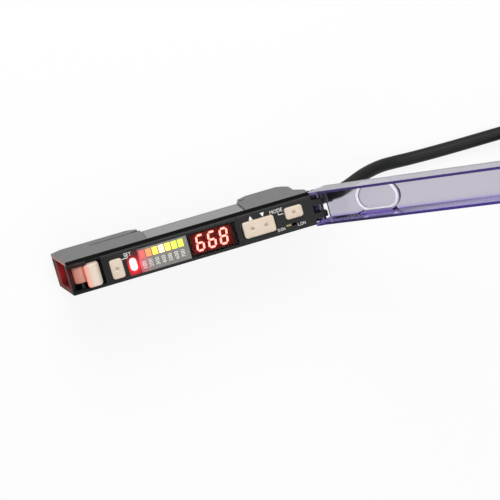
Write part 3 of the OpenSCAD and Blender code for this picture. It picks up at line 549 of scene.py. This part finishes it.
def lever_shells():
    """The lock lever: a thumb bar, a hub bored for its pin, and the wedge under the bar.

    The bar's top is an arc along the panel, less a square-law fall towards its free end. The hub is an
    outline of radius and place across the case, turned about the pin.
    """
    def height(x, y, s):
        """The same all across the bar: an arc about its middle, less the fall."""
        arc = np.sqrt(BAR_ARC ** 2 - (x - BAR_AT[0]) ** 2) - BAR_ARC
        return PANEL_Z + BAR_RISE + arc - BAR_FALL * np.clip((x - FALL_X) / FALL_L, 0, 1) ** 2

    radius, across = np.array(HUB_OUTLINE).T
    turn = np.radians(np.arange(0, 360, 7.5))[:, None]
    hub = np.stack([PIN_X + np.cos(turn) * radius, across + 0 * turn, PIN_Z + np.sin(turn) * radius], axis=-1)
    wedge = [upright(WEDGE_OUTLINE, x) for x in WEDGE_X]
    return [cap(BAR_AT, BAR_SIZE, BAR_CORNER, BAR_LOW, BAR_FILLET, height), loop(hub), loft(wedge)]


lever = stand_for("lever_moulding", lever_shells(), "lever", "lock_lever")

# Snap domes on the board under the keys

DOME_R = 1.9
DOME_TOP_R = 0.1
DOME_T = 0.3
KEY_KEEP = 0.12
ROCKER_KEEP = 0.25


def snap_dome(x, y):
    """A round snap dome on the board: at radius r its height is its rise times (1 - (r / edge) squared)."""
    turn = np.radians(np.arange(0, 360, 10))
    circle = np.stack([np.cos(turn), np.sin(turn)], axis=-1)
    return loft([level(r * circle + (x, y), BOARD_Z + DOME_T * (1 - (r / DOME_R) ** 2))
                 for r in np.linspace(DOME_R, DOME_TOP_R, 14)])


snap_domes = []
for dome_node, joint, (dome_x, dome_y), keep in (
        ("set_dome", "set_press", SET_AT, KEY_KEEP), ("mode_dome", "mode_press", MODE_AT, KEY_KEEP),
        ("up_dome", "rocker_tilt", ROCKER_LEGS[0], ROCKER_KEEP),
        ("down_dome", "rocker_tilt", ROCKER_LEGS[1], ROCKER_KEEP)):
    dome = stand_for("snap_" + dome_node, [snap_dome(dome_x, dome_y)], "case", dome_node)
    snap_domes.append(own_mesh(dome))

# Mouldings that keep the solids' own shape

# Points of a solid nearer than this, in metres, become one
SOLID_MERGE = 1e-6
FLAT_ANGLE = np.radians(0.5)
SHARP_ANGLE = np.radians(32)


def moulding(node, body, bevel, segments=2):
    """A solid's own surface with its triangles merged, its flat faces joined and its sharp edges rounded."""
    mesh = nodes[node].data.copy()
    mesh.name = node + "_moulding"
    work = bmesh.new()
    work.from_mesh(mesh)
    bmesh.ops.remove_doubles(work, verts=work.verts, dist=SOLID_MERGE)
    bmesh.ops.dissolve_limit(work, angle_limit=FLAT_ANGLE, verts=work.verts, edges=work.edges)
    work.to_mesh(mesh)
    work.free()
    mesh.polygons.foreach_set("use_smooth", np.ones(len(mesh.polygons), bool))
    mesh.set_sharp_from_angle(angle=SHARP_ANGLE)
    piece = bpy.data.objects.new(node + "_moulding", mesh)
    bpy.context.scene.collection.objects.link(piece)
    edges = piece.modifiers.new("rounded_edges", "BEVEL")
    edges.width = bevel * MM
    edges.segments = segments
    edges.limit_method = "ANGLE"
    edges.angle_limit = SHARP_ANGLE
    edges.harden_normals = True
    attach(piece, body)
    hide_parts(node)
    return piece


case_shell = moulding("case_body", "case", 0.15)
side_shell = moulding("side_cover", "case", 0.18)
port_shell = moulding("fibre_block", "case", 0.12)
cover_shell = moulding("dust_cover", "cover", 0.18, segments=3)

# Bead on the cover and shelf in its hinge

HINGE_X = 74.7
HINGE_Z = 28.0
RAISED = np.radians(47)
ROOF_IN = 5.0
OVAL_RUN = 16.9
OVAL_SIZE = (13.8, 7.2)
OVAL_CORNER = 3.59
BEAD_R = 0.4
WEB_X = 73.95
WEB_SIZE = np.array([3.3, 8.1])
WEB_CORNER = 0.5
WEB_Z = (26.2, 26.7)
WEB_BEVEL = 0.08


def oval_bead():
    """A bead round the cover's finger oval: a circle carried round a stadium on the roof's inner face.

    A point s along the cover and m off its hinge line lies at the hinge plus (s, m) turned up by the
    raised angle.
    """
    ring = even_ring(rounded_ring(*OVAL_SIZE, OVAL_CORNER, steps=36), count=144)
    heading = np.roll(ring, -1, axis=0) - np.roll(ring, 1, axis=0)
    heading /= np.linalg.norm(heading, axis=1, keepdims=True)
    outward = np.stack([heading[:, 1], -heading[:, 0]], axis=-1)
    turn = np.radians(np.arange(0, 360, 22.5))
    flat = ring[:, None] + BEAD_R * np.cos(turn)[None, :, None] * outward[:, None]
    s = flat[..., 0] + OVAL_RUN
    m = BEAD_R * np.sin(turn)[None, :] - ROOF_IN
    x = HINGE_X + s * np.cos(RAISED) - m * np.sin(RAISED)
    z = HINGE_Z + s * np.sin(RAISED) + m * np.cos(RAISED)
    return loop(np.stack([x, flat[..., 1], z], axis=-1))


def hinge_web():
    """A thin shelf between the knuckles under the hinge bar: a rounded outline, bevelled above and below."""
    low, high = WEB_Z
    outer = rounded_ring(*WEB_SIZE, WEB_CORNER) + (WEB_X, 0.0)
    inner = rounded_ring(*(WEB_SIZE - 2 * WEB_BEVEL), WEB_CORNER - WEB_BEVEL) + (WEB_X, 0.0)
    return loft([level(inner, low), level(outer, low + WEB_BEVEL), level(outer, high - WEB_BEVEL),
                 level(inner, high)])


bead = face_outwards(add_piece("oval_bead", [oval_bead()], "cover"))
web = face_outwards(add_piece("hinge_web", [hinge_web()], "case"))

# Print on the panel and on the bar scale

INK = 0.02
PANEL_INK = PANEL_Z + INK
FILM_INK = FILM_Z + INK
LINE_W = 0.2
ARROW_W = 1.2
MARK_Y = -1.3
MARK_H = 1.1
BAR_X = 21.6
BAR_STEP = 1.9
BARS = 7


def letters(text, x, y, z, height, turn=0.0, stretch=1.0):
    """A word as flat filled outlines of a given height, stretched along, turned and set about a point."""
    curve = bpy.data.curves.new("word", "FONT")
    curve.body = text
    holder = bpy.data.objects.new("word", curve)
    bpy.context.scene.collection.objects.link(holder)
    view = bpy.context.evaluated_depsgraph_get()
    mesh = bpy.data.meshes.new_from_object(holder.evaluated_get(view))
    flat = np.empty(3 * len(mesh.vertices))
    mesh.vertices.foreach_get("co", flat)
    flat = flat.reshape(-1, 3)[:, :2]
    faces = [list(face.vertices) for face in mesh.polygons]
    bpy.data.objects.remove(holder)
    bpy.data.curves.remove(curve)
    bpy.data.meshes.remove(mesh)
    low, high = flat.min(axis=0), flat.max(axis=0)
    flat = (flat - (low + high) / 2) * height / (high - low)[1] * (stretch, 1.0)
    angle = np.radians(turn)
    flat = flat @ np.array([(np.cos(angle), np.sin(angle)), (-np.sin(angle), np.cos(angle))])
    return level(flat + (x, y), z), faces


def stroke(x0, y0, x1, y1):
    """A straight printed line on the panel as one flat rectangle."""
    start, end = np.array([x0, y0]), np.array([x1, y1])
    run = end - start
    side = np.array([-run[1], run[0]]) / np.linalg.norm(run) * LINE_W / 2
    return level(np.array([start + side, start - side, end - side, end + side]), PANEL_INK), [[0, 1, 2, 3]]


def arrow(x, y, height):
    """A filled triangle on the panel: it points up for a positive height and down for a negative one."""
    corners = np.array([(-ARROW_W / 2, -height / 2), (ARROW_W / 2, -height / 2), (0, height / 2)])
    return level(corners + (x, y), PANEL_INK), [[0, 1, 2] if height > 0 else [0, 2, 1]]


legend_shells = [
    letters("SET", 17.55, 2.9, PANEL_INK, 1.1, stretch=0.9),
    stroke(15.75, 1.95, 17.4, 1.95),
    stroke(17.3, 1.95, 17.3, 2.3),
    letters("MODE", 61.75, 2.85, PANEL_INK, 1.05, stretch=0.9),
    stroke(62.2, 2.1, 62.2, 1.55),
    stroke(62.1, 1.55, 63.7, 1.55),
    letters("D.ON", 62.0, -2.75, PANEL_INK, 0.85, stretch=0.75),
    letters("L.ON", 68.1, -2.7, PANEL_INK, 0.85, stretch=0.85),
    arrow(54.1, 2.95, 1.25),
    arrow(57.7, 2.95, -1.25),
]
legends = add_piece("panel_legends", legend_shells, "case", smooth=False)
mark_shells = [letters(str(100 * (i + 1)), BAR_X + BAR_STEP * i, MARK_Y, FILM_INK, MARK_H, turn=90)
               for i in range(BARS)]
marks = add_piece("scale_marks", mark_shells, "case", smooth=False)

# Glow round the digits

GLOW_X = (35.85, 48.25)
GLOW_Y = (-2.95, 2.95)
GLOW_Z = 28.53
GLOW_REACH = 0.7
DIGITS = ("digit_1", "digit_2", "digit_3")


def stroke_samples(node):
    """Points spread over a lit digit's triangles: each corner trio mixed in fixed shares."""
    mesh = nodes[node].data
    points = np.empty(3 * len(mesh.vertices))
    mesh.vertices.foreach_get("co", points)
    mesh.calc_loop_triangles()
    corners = np.empty(3 * len(mesh.loop_triangles), int)
    mesh.loop_triangles.foreach_get("vertices", corners)
    trio = points.reshape(-1, 3)[corners.reshape(-1, 3)][:, :, :2]
    shares = np.array([(a, b, 4 - a - b) for a in range(5) for b in range(5 - a)]) / 4
    return np.einsum("sk,tkc->tsc", shares, trio).reshape(-1, 2)


def digit_glow():
    """A flat grid on the digit module: its glow is exp(-d / reach) at the distance d to the lit strokes."""
    x, y = np.meshgrid(np.linspace(*GLOW_X, 130), np.linspace(*GLOW_Y, 64))
    points = place(np.stack([x, y, 0 * x + GLOW_Z], axis=-1).reshape(-1, 3))
    lit = np.concatenate([stroke_samples(digit) for digit in DIGITS])
    near = np.concatenate([np.linalg.norm(part[:, None] - lit[None], axis=2).min(axis=1)
                           for part in np.array_split(points[:, :2], 40)])
    sheet = mesh_object("digit_glow", points, grid_faces(*x.shape), smooth=False)
    glow = sheet.data.attributes.new("glow", "FLOAT", "POINT")
    glow.data.foreach_set("value", np.exp(-near / (GLOW_REACH * MM)).astype(np.float32))
    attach(sheet, "case")
    return sheet


glow_sheet = digit_glow()

# How a finish is made

CLOUD_RANGE = (0.3, 0.7)
ROUGH_DRIFT = 0.06
GRAIN_T = 0.1


def finish(name, colour, roughness, grain=0.0, grain_size=0.2, shade=0.12, cloud=2.0, **sockets):
    """A moulded finish: its colour and roughness drift with a slow cloud, and a fine noise gives it grain.

    Sizes are in millimetres on the piece itself; shade is how far the colour drifts either way.
    """
    material = bpy.data.materials.new(name)
    material.use_nodes = True
    tree = material.node_tree
    shader = tree.nodes["Principled BSDF"]
    where = tree.nodes.new("ShaderNodeTexCoord")
    slow = tree.nodes.new("ShaderNodeTexNoise")
    slow.inputs["Scale"].default_value = 1 / (cloud * MM)
    slow.inputs["Detail"].default_value = 4
    tree.links.new(where.outputs["Object"], slow.inputs["Vector"])
    ramp = tree.nodes.new("ShaderNodeValToRGB")
    ramp.color_ramp.elements[0].position = CLOUD_RANGE[0]
    ramp.color_ramp.elements[1].position = CLOUD_RANGE[1]
    ramp.color_ramp.elements[0].color = [c * (1 - shade) for c in colour] + [1]
    ramp.color_ramp.elements[1].color = [min(1, c * (1 + shade)) for c in colour] + [1]
    tree.links.new(slow.outputs["Fac"], ramp.inputs["Fac"])
    tree.links.new(ramp.outputs["Color"], shader.inputs["Base Color"])
    rough = tree.nodes.new("ShaderNodeMapRange")
    rough.inputs["To Min"].default_value = max(0, roughness - ROUGH_DRIFT)
    rough.inputs["To Max"].default_value = roughness + ROUGH_DRIFT
    tree.links.new(slow.outputs["Fac"], rough.inputs["Value"])
    tree.links.new(rough.outputs["Result"], shader.inputs["Roughness"])
    if grain:
        fine = tree.nodes.new("ShaderNodeTexNoise")
        fine.inputs["Scale"].default_value = 1 / (grain_size * MM)
        fine.inputs["Detail"].default_value = 2
        tree.links.new(where.outputs["Object"], fine.inputs["Vector"])
        bump = tree.nodes.new("ShaderNodeBump")
        bump.inputs["Strength"].default_value = grain
        bump.inputs["Distance"].default_value = GRAIN_T * MM
        tree.links.new(fine.outputs["Fac"], bump.inputs["Height"])
        tree.links.new(bump.outputs["Normal"], shader.inputs["Normal"])
    for socket, value in sockets.items():
        shader.inputs[socket.replace("_", " ")].default_value = value
    return material


def glow_from(material, colour, *spots):
    """Adds light of one colour that falls off from spots of (centre, reach, strength), in millimetres.

    At a distance d from the centre it is strength times (1 - d / reach) squared, and the spots add up.
    """
    tree = material.node_tree
    shader = tree.nodes["Principled BSDF"]
    where = tree.nodes.new("ShaderNodeTexCoord")
    total = None
    for centre, reach, strength in spots:
        gap = tree.nodes.new("ShaderNodeVectorMath")
        gap.operation = "DISTANCE"
        gap.inputs[1].default_value = place(centre)
        tree.links.new(where.outputs["Object"], gap.inputs[0])
        fall = tree.nodes.new("ShaderNodeMapRange")
        fall.inputs["From Max"].default_value = reach * MM
        fall.inputs["To Min"].default_value = strength ** 0.5
        fall.inputs["To Max"].default_value = 0
        tree.links.new(gap.outputs["Value"], fall.inputs["Value"])
        square = tree.nodes.new("ShaderNodeMath")
        square.operation = "MULTIPLY_ADD"
        tree.links.new(fall.outputs["Result"], square.inputs[0])
        tree.links.new(fall.outputs["Result"], square.inputs[1])
        square.inputs[2].default_value = 0
        if total:
            tree.links.new(total, square.inputs[2])
        total = square.outputs["Value"]
    shader.inputs["Emission Color"].default_value = (*colour, 1)
    tree.links.new(total, shader.inputs["Emission Strength"])


def value_along(material, axis, start, end, first=0.0, last=1.0):
    """A value that runs from first to last between two places along X, Y or Z, in millimetres."""
    tree = material.node_tree
    where = tree.nodes.new("ShaderNodeTexCoord")
    split = tree.nodes.new("ShaderNodeSeparateXYZ")
    tree.links.new(where.outputs["Object"], split.inputs["Vector"])
    value = tree.nodes.new("ShaderNodeMapRange")
    shift = RAIL_X if axis == "X" else 0.0
    value.inputs["From Min"].default_value = (start - shift) * MM
    value.inputs["From Max"].default_value = (end - shift) * MM
    value.inputs["To Min"].default_value = first
    value.inputs["To Max"].default_value = last
    tree.links.new(split.outputs[axis], value.inputs["Value"])
    return value.outputs["Result"]


def grade(material, axis, start, end, first, last):
    """Sets a finish's colour by place: from one colour to another between two places along an axis."""
    tree = material.node_tree
    ramp = tree.nodes.new("ShaderNodeValToRGB")
    ramp.color_ramp.elements[0].color = (*first, 1)
    ramp.color_ramp.elements[1].color = (*last, 1)
    tree.links.new(value_along(material, axis, start, end), ramp.inputs["Fac"])
    tree.links.new(ramp.outputs["Color"], tree.nodes["Principled BSDF"].inputs["Base Color"])


def gloss(material, axis, start, end, first, last):
    """Sets a finish's gloss by place: from one level to another between two places along an axis."""
    tree = material.node_tree
    amount = value_along(material, axis, start, end, first, last)
    tree.links.new(amount, tree.nodes["Principled BSDF"].inputs["Specular IOR Level"])


def darken(material, share, colour):
    """Takes a finish from its own colour towards a darker one by a share from 0 to 1."""
    tree = material.node_tree
    base = tree.nodes["Principled BSDF"].inputs["Base Color"]
    blend = tree.nodes.new("ShaderNodeMix")
    blend.data_type = "RGBA"
    tree.links.new(share, blend.inputs[0])
    tree.links.new(base.links[0].from_socket, blend.inputs[6])
    blend.inputs[7].default_value = (*colour, 1)
    tree.links.new(blend.outputs[2], base)


def own_share(material, attribute):
    """The value of an attribute that a piece stores at its points."""
    stored = material.node_tree.nodes.new("ShaderNodeAttribute")
    stored.attribute_name = attribute
    return stored.outputs["Fac"]


def lamp_finish(name, colour, strength):
    """A lit, slightly milky plastic: its own light, a little uneven."""
    material = finish(name, colour, 0.3, shade=0.1, cloud=1.0)
    shader = material.node_tree.nodes["Principled BSDF"]
    shader.inputs["Emission Color"].default_value = (*colour, 1)
    shader.inputs["Emission Strength"].default_value = strength
    return material


# Finishes of the case, lit red from inside at the fibre end

RED = (1.0, 0.03, 0.03)
# A spot of light is (centre, reach, strength)
NOSE_SPOTS = (((2.5, 1.0, 27.5), 5.0, 0.22), ((-1.8, 0.0, 20.0), 6.5, 0.5), ((-3.0, 0.0, 11.0), 6.5, 0.4),
              ((-3.6, -3.0, 18.0), 7.0, 0.3), ((-5.0, -3.0, 6.0), 7.0, 0.3))
# The front edge of the side cover slopes, and its spots follow it
EDGE_TOP = 26.0
EDGE_SLOPE = 0.15
EDGE_SPOTS = [((-EDGE_SLOPE * (EDGE_TOP - z), 3.0, z), 2.6, 0.9) for z in (23.0, 19.5, 16.0, 12.5, 9.0, 5.5)]
PORT_SPOTS = (((-1.0, 0.0, 20.0), 6.0, 0.3), ((-1.0, 0.0, 12.4), 5.0, 0.2))
# The topmost skin of the side cover lies in the seam beside the panel, where shade is painted: it loses its
# gloss and darkens to near black
LEDGE_T = 0.1
LEDGE_PAINTED_SHADE = (0.009, 0.009, 0.008)

case_finish = finish("case_plastic", (0.012, 0.0122, 0.012), 0.48, grain=0.25, grain_size=0.18,
                     Specular_IOR_Level=0.18)
glow_from(case_finish, RED, *NOSE_SPOTS)
gloss(case_finish, "X", 0.0, 18.0, 0.02, 0.18)
# The side cover's grey, lighter than the case, is partly its own plastic and partly painted light for the
# sheen on its broad side
side_finish = finish("side_plastic", (0.07, 0.07, 0.069), 0.42, grain=0.3, grain_size=0.2, shade=0.08,
                     Specular_IOR_Level=0.35)
glow_from(side_finish, RED, *EDGE_SPOTS)
ledge_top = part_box("side_cover")[1][2] / MM
# Painted shade in the seam beside the panel: less gloss and a near-black colour on the ledge
gloss(side_finish, "Z", ledge_top - LEDGE_T, ledge_top, 0.35, 0.04)
darken(side_finish, value_along(side_finish, "Z", ledge_top - LEDGE_T, ledge_top), LEDGE_PAINTED_SHADE)
label_finish = finish("label_film", (0.135, 0.135, 0.134), 0.32, grain=0.05, grain_size=0.4, cloud=5.0,
                      Specular_IOR_Level=0.26)
port_finish = finish("port_plastic", (0.012, 0.012, 0.013), 0.45, grain=0.2, Specular_IOR_Level=0.25)
glow_from(port_finish, RED, *PORT_SPOTS)

# Finishes of the keys and the lever

# The brown of the painted shade in the keys' finger hollows
HOLLOW_PAINTED_SHADE = (0.42, 0.32, 0.24)
LEVER_HUB_PAINTED_SHADE = (0.5, 0.22, 0.16)
LEVER_CREAM = (0.7, 0.58, 0.48)
LEVER_RED = (1.0, 0.16, 0.12)
LEVER_SPOTS = (((2.0, 0.5, 29.0), 5.0, 0.12), *[((4.7, y, 30.7), 2.0, 0.6) for y in (-2.7, -0.9, 0.9, 2.7)])

key_finish = finish("cream_plastic", (0.65, 0.54, 0.43), 0.38, grain=0.08, grain_size=0.25, shade=0.04,
                    cloud=1.5, Subsurface_Weight=0.15, Subsurface_Scale=0.0006)
# Painted shade: the keys darken to brown in their finger hollows
darken(key_finish, own_share(key_finish, "hollow"), HOLLOW_PAINTED_SHADE)
lever_finish = finish("lever_plastic", LEVER_CREAM, 0.4, grain=0.08, Subsurface_Weight=0.2,
                      Subsurface_Scale=0.0008)
# Painted shade and red light: the lever's hub end is darker and redder, going over to cream along the bar
grade(lever_finish, "X", 4.3, 6.4, LEVER_HUB_PAINTED_SHADE, LEVER_CREAM)
glow_from(lever_finish, LEVER_RED, *LEVER_SPOTS)
knob_finish = finish("knob_plastic", (0.3, 0.25, 0.11), 0.45, grain=0.1)

# Finishes of the lit pieces and their windows

LENS_RED = (1.0, 0.012, 0.02)
LENS_SPOT = ((18.5, -1.0, 29.9), 4.2, 2.0)
FILM_RED = (1.0, 0.1, 0.14)
FILM_SPOT = ((20.2, -0.8, 29.9), 5.0, 0.9)
FILM_PAINTED_SHADE = (0.16, 0.025, 0.04)
HAZE_RED = (1.0, 0.03, 0.015)
HAZE_LEVELS = (0.02, 0.8)
# Each lit bar's (colour, strength)
BAR_LIGHTS = [((0.9, 0.09, 0.08), 0.45), ((0.85, 0.26, 0.08), 0.5), ((1.0, 0.62, 0.05), 1.0),
              ((1.0, 0.8, 0.4), 1.0), ((1.0, 0.7, 0.08), 1.0), ((0.62, 0.78, 0.05), 0.9),
              ((0.55, 0.74, 0.04), 0.9)]


def haze_finish():
    """The dark face round the digits, which gives off the red that spreads from the lit strokes."""
    material = finish("digit_haze", (0.02, 0.006, 0.006), 0.5)
    tree = material.node_tree
    shader = tree.nodes["Principled BSDF"]
    amount = tree.nodes.new("ShaderNodeMapRange")
    amount.inputs["To Min"].default_value = HAZE_LEVELS[0]
    amount.inputs["To Max"].default_value = HAZE_LEVELS[1]
    tree.links.new(own_share(material, "glow"), amount.inputs["Value"])
    shader.inputs["Emission Color"].default_value = (*HAZE_RED, 1)
    tree.links.new(amount.outputs["Result"], shader.inputs["Emission Strength"])
    return material


emitter_finish = lamp_finish("red_emitter", (1.0, 0.05, 0.04), 4.0)
receiver_finish = finish("dark_receiver", (0.03, 0.032, 0.04), 0.15)
status_glass = finish("status_glass", (0.06, 0.004, 0.005), 0.2, Specular_IOR_Level=0.15)
glow_from(status_glass, LENS_RED, LENS_SPOT)
status_lamp = lamp_finish("status_lamp", (1.0, 0.5, 0.48), 1.0)
scale_finish = finish("scale_film", (0.17, 0.155, 0.14), 0.35, grain=0.04)
glow_from(scale_finish, FILM_RED, FILM_SPOT)
# Painted shade and red light: the bar scale darkens to a dark red towards the status lens
darken(scale_finish, value_along(scale_finish, "X", 23.0, 20.4), FILM_PAINTED_SHADE)
bar_lamps = [lamp_finish(f"bar_lamp_{i + 1}", *light) for i, light in enumerate(BAR_LIGHTS)]
display_glass = finish("display_glass", (0.32, 0.12, 0.09), 0.06, shade=0.04, Transmission_Weight=1.0,
                       IOR=1.15)
digit_lamp = lamp_finish("digit_lamp", (1.0, 0.85, 0.9), 8.0)
legend_finish = finish("legend_ink", (0.8, 0.8, 0.78), 0.5, grain=0.05)

# Finishes of the dust cover

COVER_WALL_PAINTED_SHADE = (0.48, 0.42, 0.82)
COVER_ROOF = (0.79, 0.86, 0.715)
COVER_TINT = (0.45, 0.25, 0.75)
COVER_DENSITY = 600.0


def clear_violet():
    """Clear tinted moulding: painted shade makes it a deeper violet in the wall at its -Y side, and it
    absorbs along the light's path.
    """
    material = finish("clear_violet", COVER_ROOF, 0.09, shade=0.0, Transmission_Weight=1.0, IOR=1.49)
    grade(material, "Y", -4.5, -3.6, COVER_WALL_PAINTED_SHADE, COVER_ROOF)
    tree = material.node_tree
    absorb = tree.nodes.new("ShaderNodeVolumeAbsorption")
    absorb.inputs["Color"].default_value = (*COVER_TINT, 1)
    absorb.inputs["Density"].default_value = COVER_DENSITY
    tree.links.new(absorb.outputs["Volume"], tree.nodes["Material Output"].inputs["Volume"])
    return material


cover_finish = clear_violet()
# The bead is no lamp: its own light is painted light, which lifts it out of the shade of the cover's walls
bead_painted_glow = lamp_finish("frosted_violet_painted_glow", (0.93, 0.92, 0.95), 0.3)

# Finishes of the cable and of what lies inside

sheath_finish = finish("cable_sheath", (0.0075, 0.008, 0.008), 0.45, grain=0.15, grain_size=0.25,
                       Specular_IOR_Level=0.2)
tie_finish = finish("tie_plastic", (0.02, 0.021, 0.021), 0.4, grain=0.1, Specular_IOR_Level=0.3)
tinned_finish = finish("tinned_wire", (0.6, 0.58, 0.55), 0.35, grain=0.2, grain_size=0.15, Metallic=1.0)
lead_finishes = {
    "lead_brown": finish("lead_brown", (0.14, 0.05, 0.02), 0.4),
    "lead_blue": finish("lead_blue", (0.03, 0.12, 0.42), 0.4),
    "lead_black": finish("lead_black", (0.012, 0.012, 0.012), 0.4),
}
natural_finish = finish("natural_plastic", (0.6, 0.57, 0.5), 0.45, grain=0.1)
steel_finish = finish("steel", (0.55, 0.55, 0.56), 0.3, grain=0.1, grain_size=0.1, Metallic=1.0)
pin_finish = finish("blackened_steel", (0.02, 0.02, 0.022), 0.45, grain=0.1, grain_size=0.1,
                    Specular_IOR_Level=0.3)
board_finish = finish("board_green", (0.015, 0.1, 0.05), 0.35, grain=0.1, grain_size=0.4, shade=0.25)
module_finish = finish("module_black", (0.02, 0.012, 0.012), 0.5)
black_finish = finish("chip_black", (0.012, 0.012, 0.014), 0.5)
chip_finish = finish("chip_white", (0.75, 0.73, 0.66), 0.5)

# Which piece wears which finish


def wear(piece, material):
    """Gives a piece one finish."""
    piece.data.materials.clear()
    piece.data.materials.append(material)


for piece, material in (
        (cable, sheath_finish), (bush, sheath_finish), (tie, tie_finish), (set_cap, key_finish),
        (mode_cap, key_finish), (rocker_cap, key_finish), (lever, lever_finish), (case_shell, case_finish),
        (side_shell, side_finish), (port_shell, port_finish), (cover_shell, cover_finish),
        (legends, legend_finish), (marks, legend_finish), (glow_sheet, haze_finish()), (bead, bead_painted_glow),
        (web, case_finish), *[(dome, steel_finish) for dome in snap_domes]):
    wear(piece, material)
for lead_name, piece in leads.items():
    wear(piece, tinned_finish if lead_name.endswith("_tip") else lead_finishes[lead_name])
node_finish = {
    "side_label": label_finish, "fibre_clamp": natural_finish, "lever_pin": pin_finish,
    "emitter": emitter_finish, "receiver": receiver_finish, "status_window": status_glass,
    "status_lens": status_lamp, "status_led": chip_finish, "bar_scale": scale_finish,
    "bar_leds": chip_finish, "display_window": display_glass, "digit_module": module_finish,
    "selector_knob": knob_finish, "selector_switch": black_finish, "display_board": board_finish,
    "main_board": board_finish, "processor": black_finish, **{digit: digit_lamp for digit in DIGITS},
    **{f"bar_light_{i + 1}": lamp for i, lamp in enumerate(bar_lamps)},
}
for node_name, node_material in node_finish.items():
    wear(nodes[node_name], node_material)

# Light and floor

# The floor reaches this many metres each way
FLOOR_HALF = 3.0
FLOOR_WHITE = 0.86
FLOOR_SHARE = 0.86
SKY_COLOUR = (0.95, 0.97, 1.0)
SKY_STRENGTH = 0.4
SKY_SHARE = 0.6
LAMP_AIM = (40, 0, 20)


def area_light(name, at_mm, size, power):
    """A soft square lamp at a point, turned to face the middle of the case. Its size is in metres."""
    lamp = bpy.data.lights.new(name, "AREA")
    lamp.size = size
    lamp.energy = power
    holder = bpy.data.objects.new(name, lamp)
    bpy.context.scene.collection.objects.link(holder)
    start = Vector(place(at_mm))
    end = Vector(place(LAMP_AIM))
    holder.location = start
    holder.rotation_euler = (end - start).to_track_quat("-Z", "Y").to_euler()


def white_for_view(tree, base_shader, share):
    """Mixes a share of plain white over a shader, for what the camera, gloss and clear plastic see."""
    path = tree.nodes.new("ShaderNodeLightPath")
    seen = tree.nodes.new("ShaderNodeMath")
    seen.operation = "MAXIMUM"
    tree.links.new(path.outputs["Is Camera Ray"], seen.inputs[0])
    tree.links.new(path.outputs["Is Glossy Ray"], seen.inputs[1])
    either = tree.nodes.new("ShaderNodeMath")
    either.operation = "MAXIMUM"
    tree.links.new(seen.outputs["Value"], either.inputs[0])
    tree.links.new(path.outputs["Is Transmission Ray"], either.inputs[1])
    part = tree.nodes.new("ShaderNodeMath")
    part.operation = "MULTIPLY"
    part.inputs[1].default_value = share
    tree.links.new(either.outputs["Value"], part.inputs[0])
    white = tree.nodes.new("ShaderNodeEmission")
    white.inputs["Color"].default_value = (1, 1, 1, 1)
    white.inputs["Strength"].default_value = 1.0
    blend = tree.nodes.new("ShaderNodeMixShader")
    tree.links.new(part.outputs["Value"], blend.inputs["Fac"])
    tree.links.new(base_shader, blend.inputs[1])
    tree.links.new(white.outputs["Emission"], blend.inputs[2])
    return blend.outputs["Shader"]


def floor_finish():
    """A dull white floor, which takes the object's shadow."""
    material = bpy.data.materials.new("floor_white")
    material.use_nodes = True
    tree = material.node_tree
    shader = tree.nodes["Principled BSDF"]
    shader.inputs["Base Color"].default_value = (FLOOR_WHITE, FLOOR_WHITE, FLOOR_WHITE, 1)
    shader.inputs["Roughness"].default_value = 0.7
    shader.inputs["Specular IOR Level"].default_value = 0.1
    tree.links.new(white_for_view(tree, shader.outputs["BSDF"], FLOOR_SHARE),
                   tree.nodes["Material Output"].inputs["Surface"])
    return material


def studio_world():
    """A soft sky that lights the object, and that the camera sees paler than it shines."""
    world = bpy.data.worlds.new("studio")
    bpy.context.scene.world = world
    world.use_nodes = True
    tree = world.node_tree
    sky = tree.nodes["Background"]
    sky.inputs["Color"].default_value = (*SKY_COLOUR, 1)
    sky.inputs["Strength"].default_value = SKY_STRENGTH
    tree.links.new(white_for_view(tree, sky.outputs["Background"], SKY_SHARE),
                   tree.nodes["World Output"].inputs["Surface"])


floor_corners = FLOOR_HALF * np.array([(-1, -1, 0), (1, -1, 0), (1, 1, 0), (-1, 1, 0)])
floor = mesh_object("floor", floor_corners, [(0, 1, 2, 3)])
wear(floor, floor_finish())
studio_world()
area_light("window_lamp", (90, 420, 420), 0.35, 2.4)
area_light("top_lamp", (120, -150, 620), 0.5, 1.4)
bpy.context.scene.view_settings.view_transform = "Standard"

bpy.context.view_layer.update()
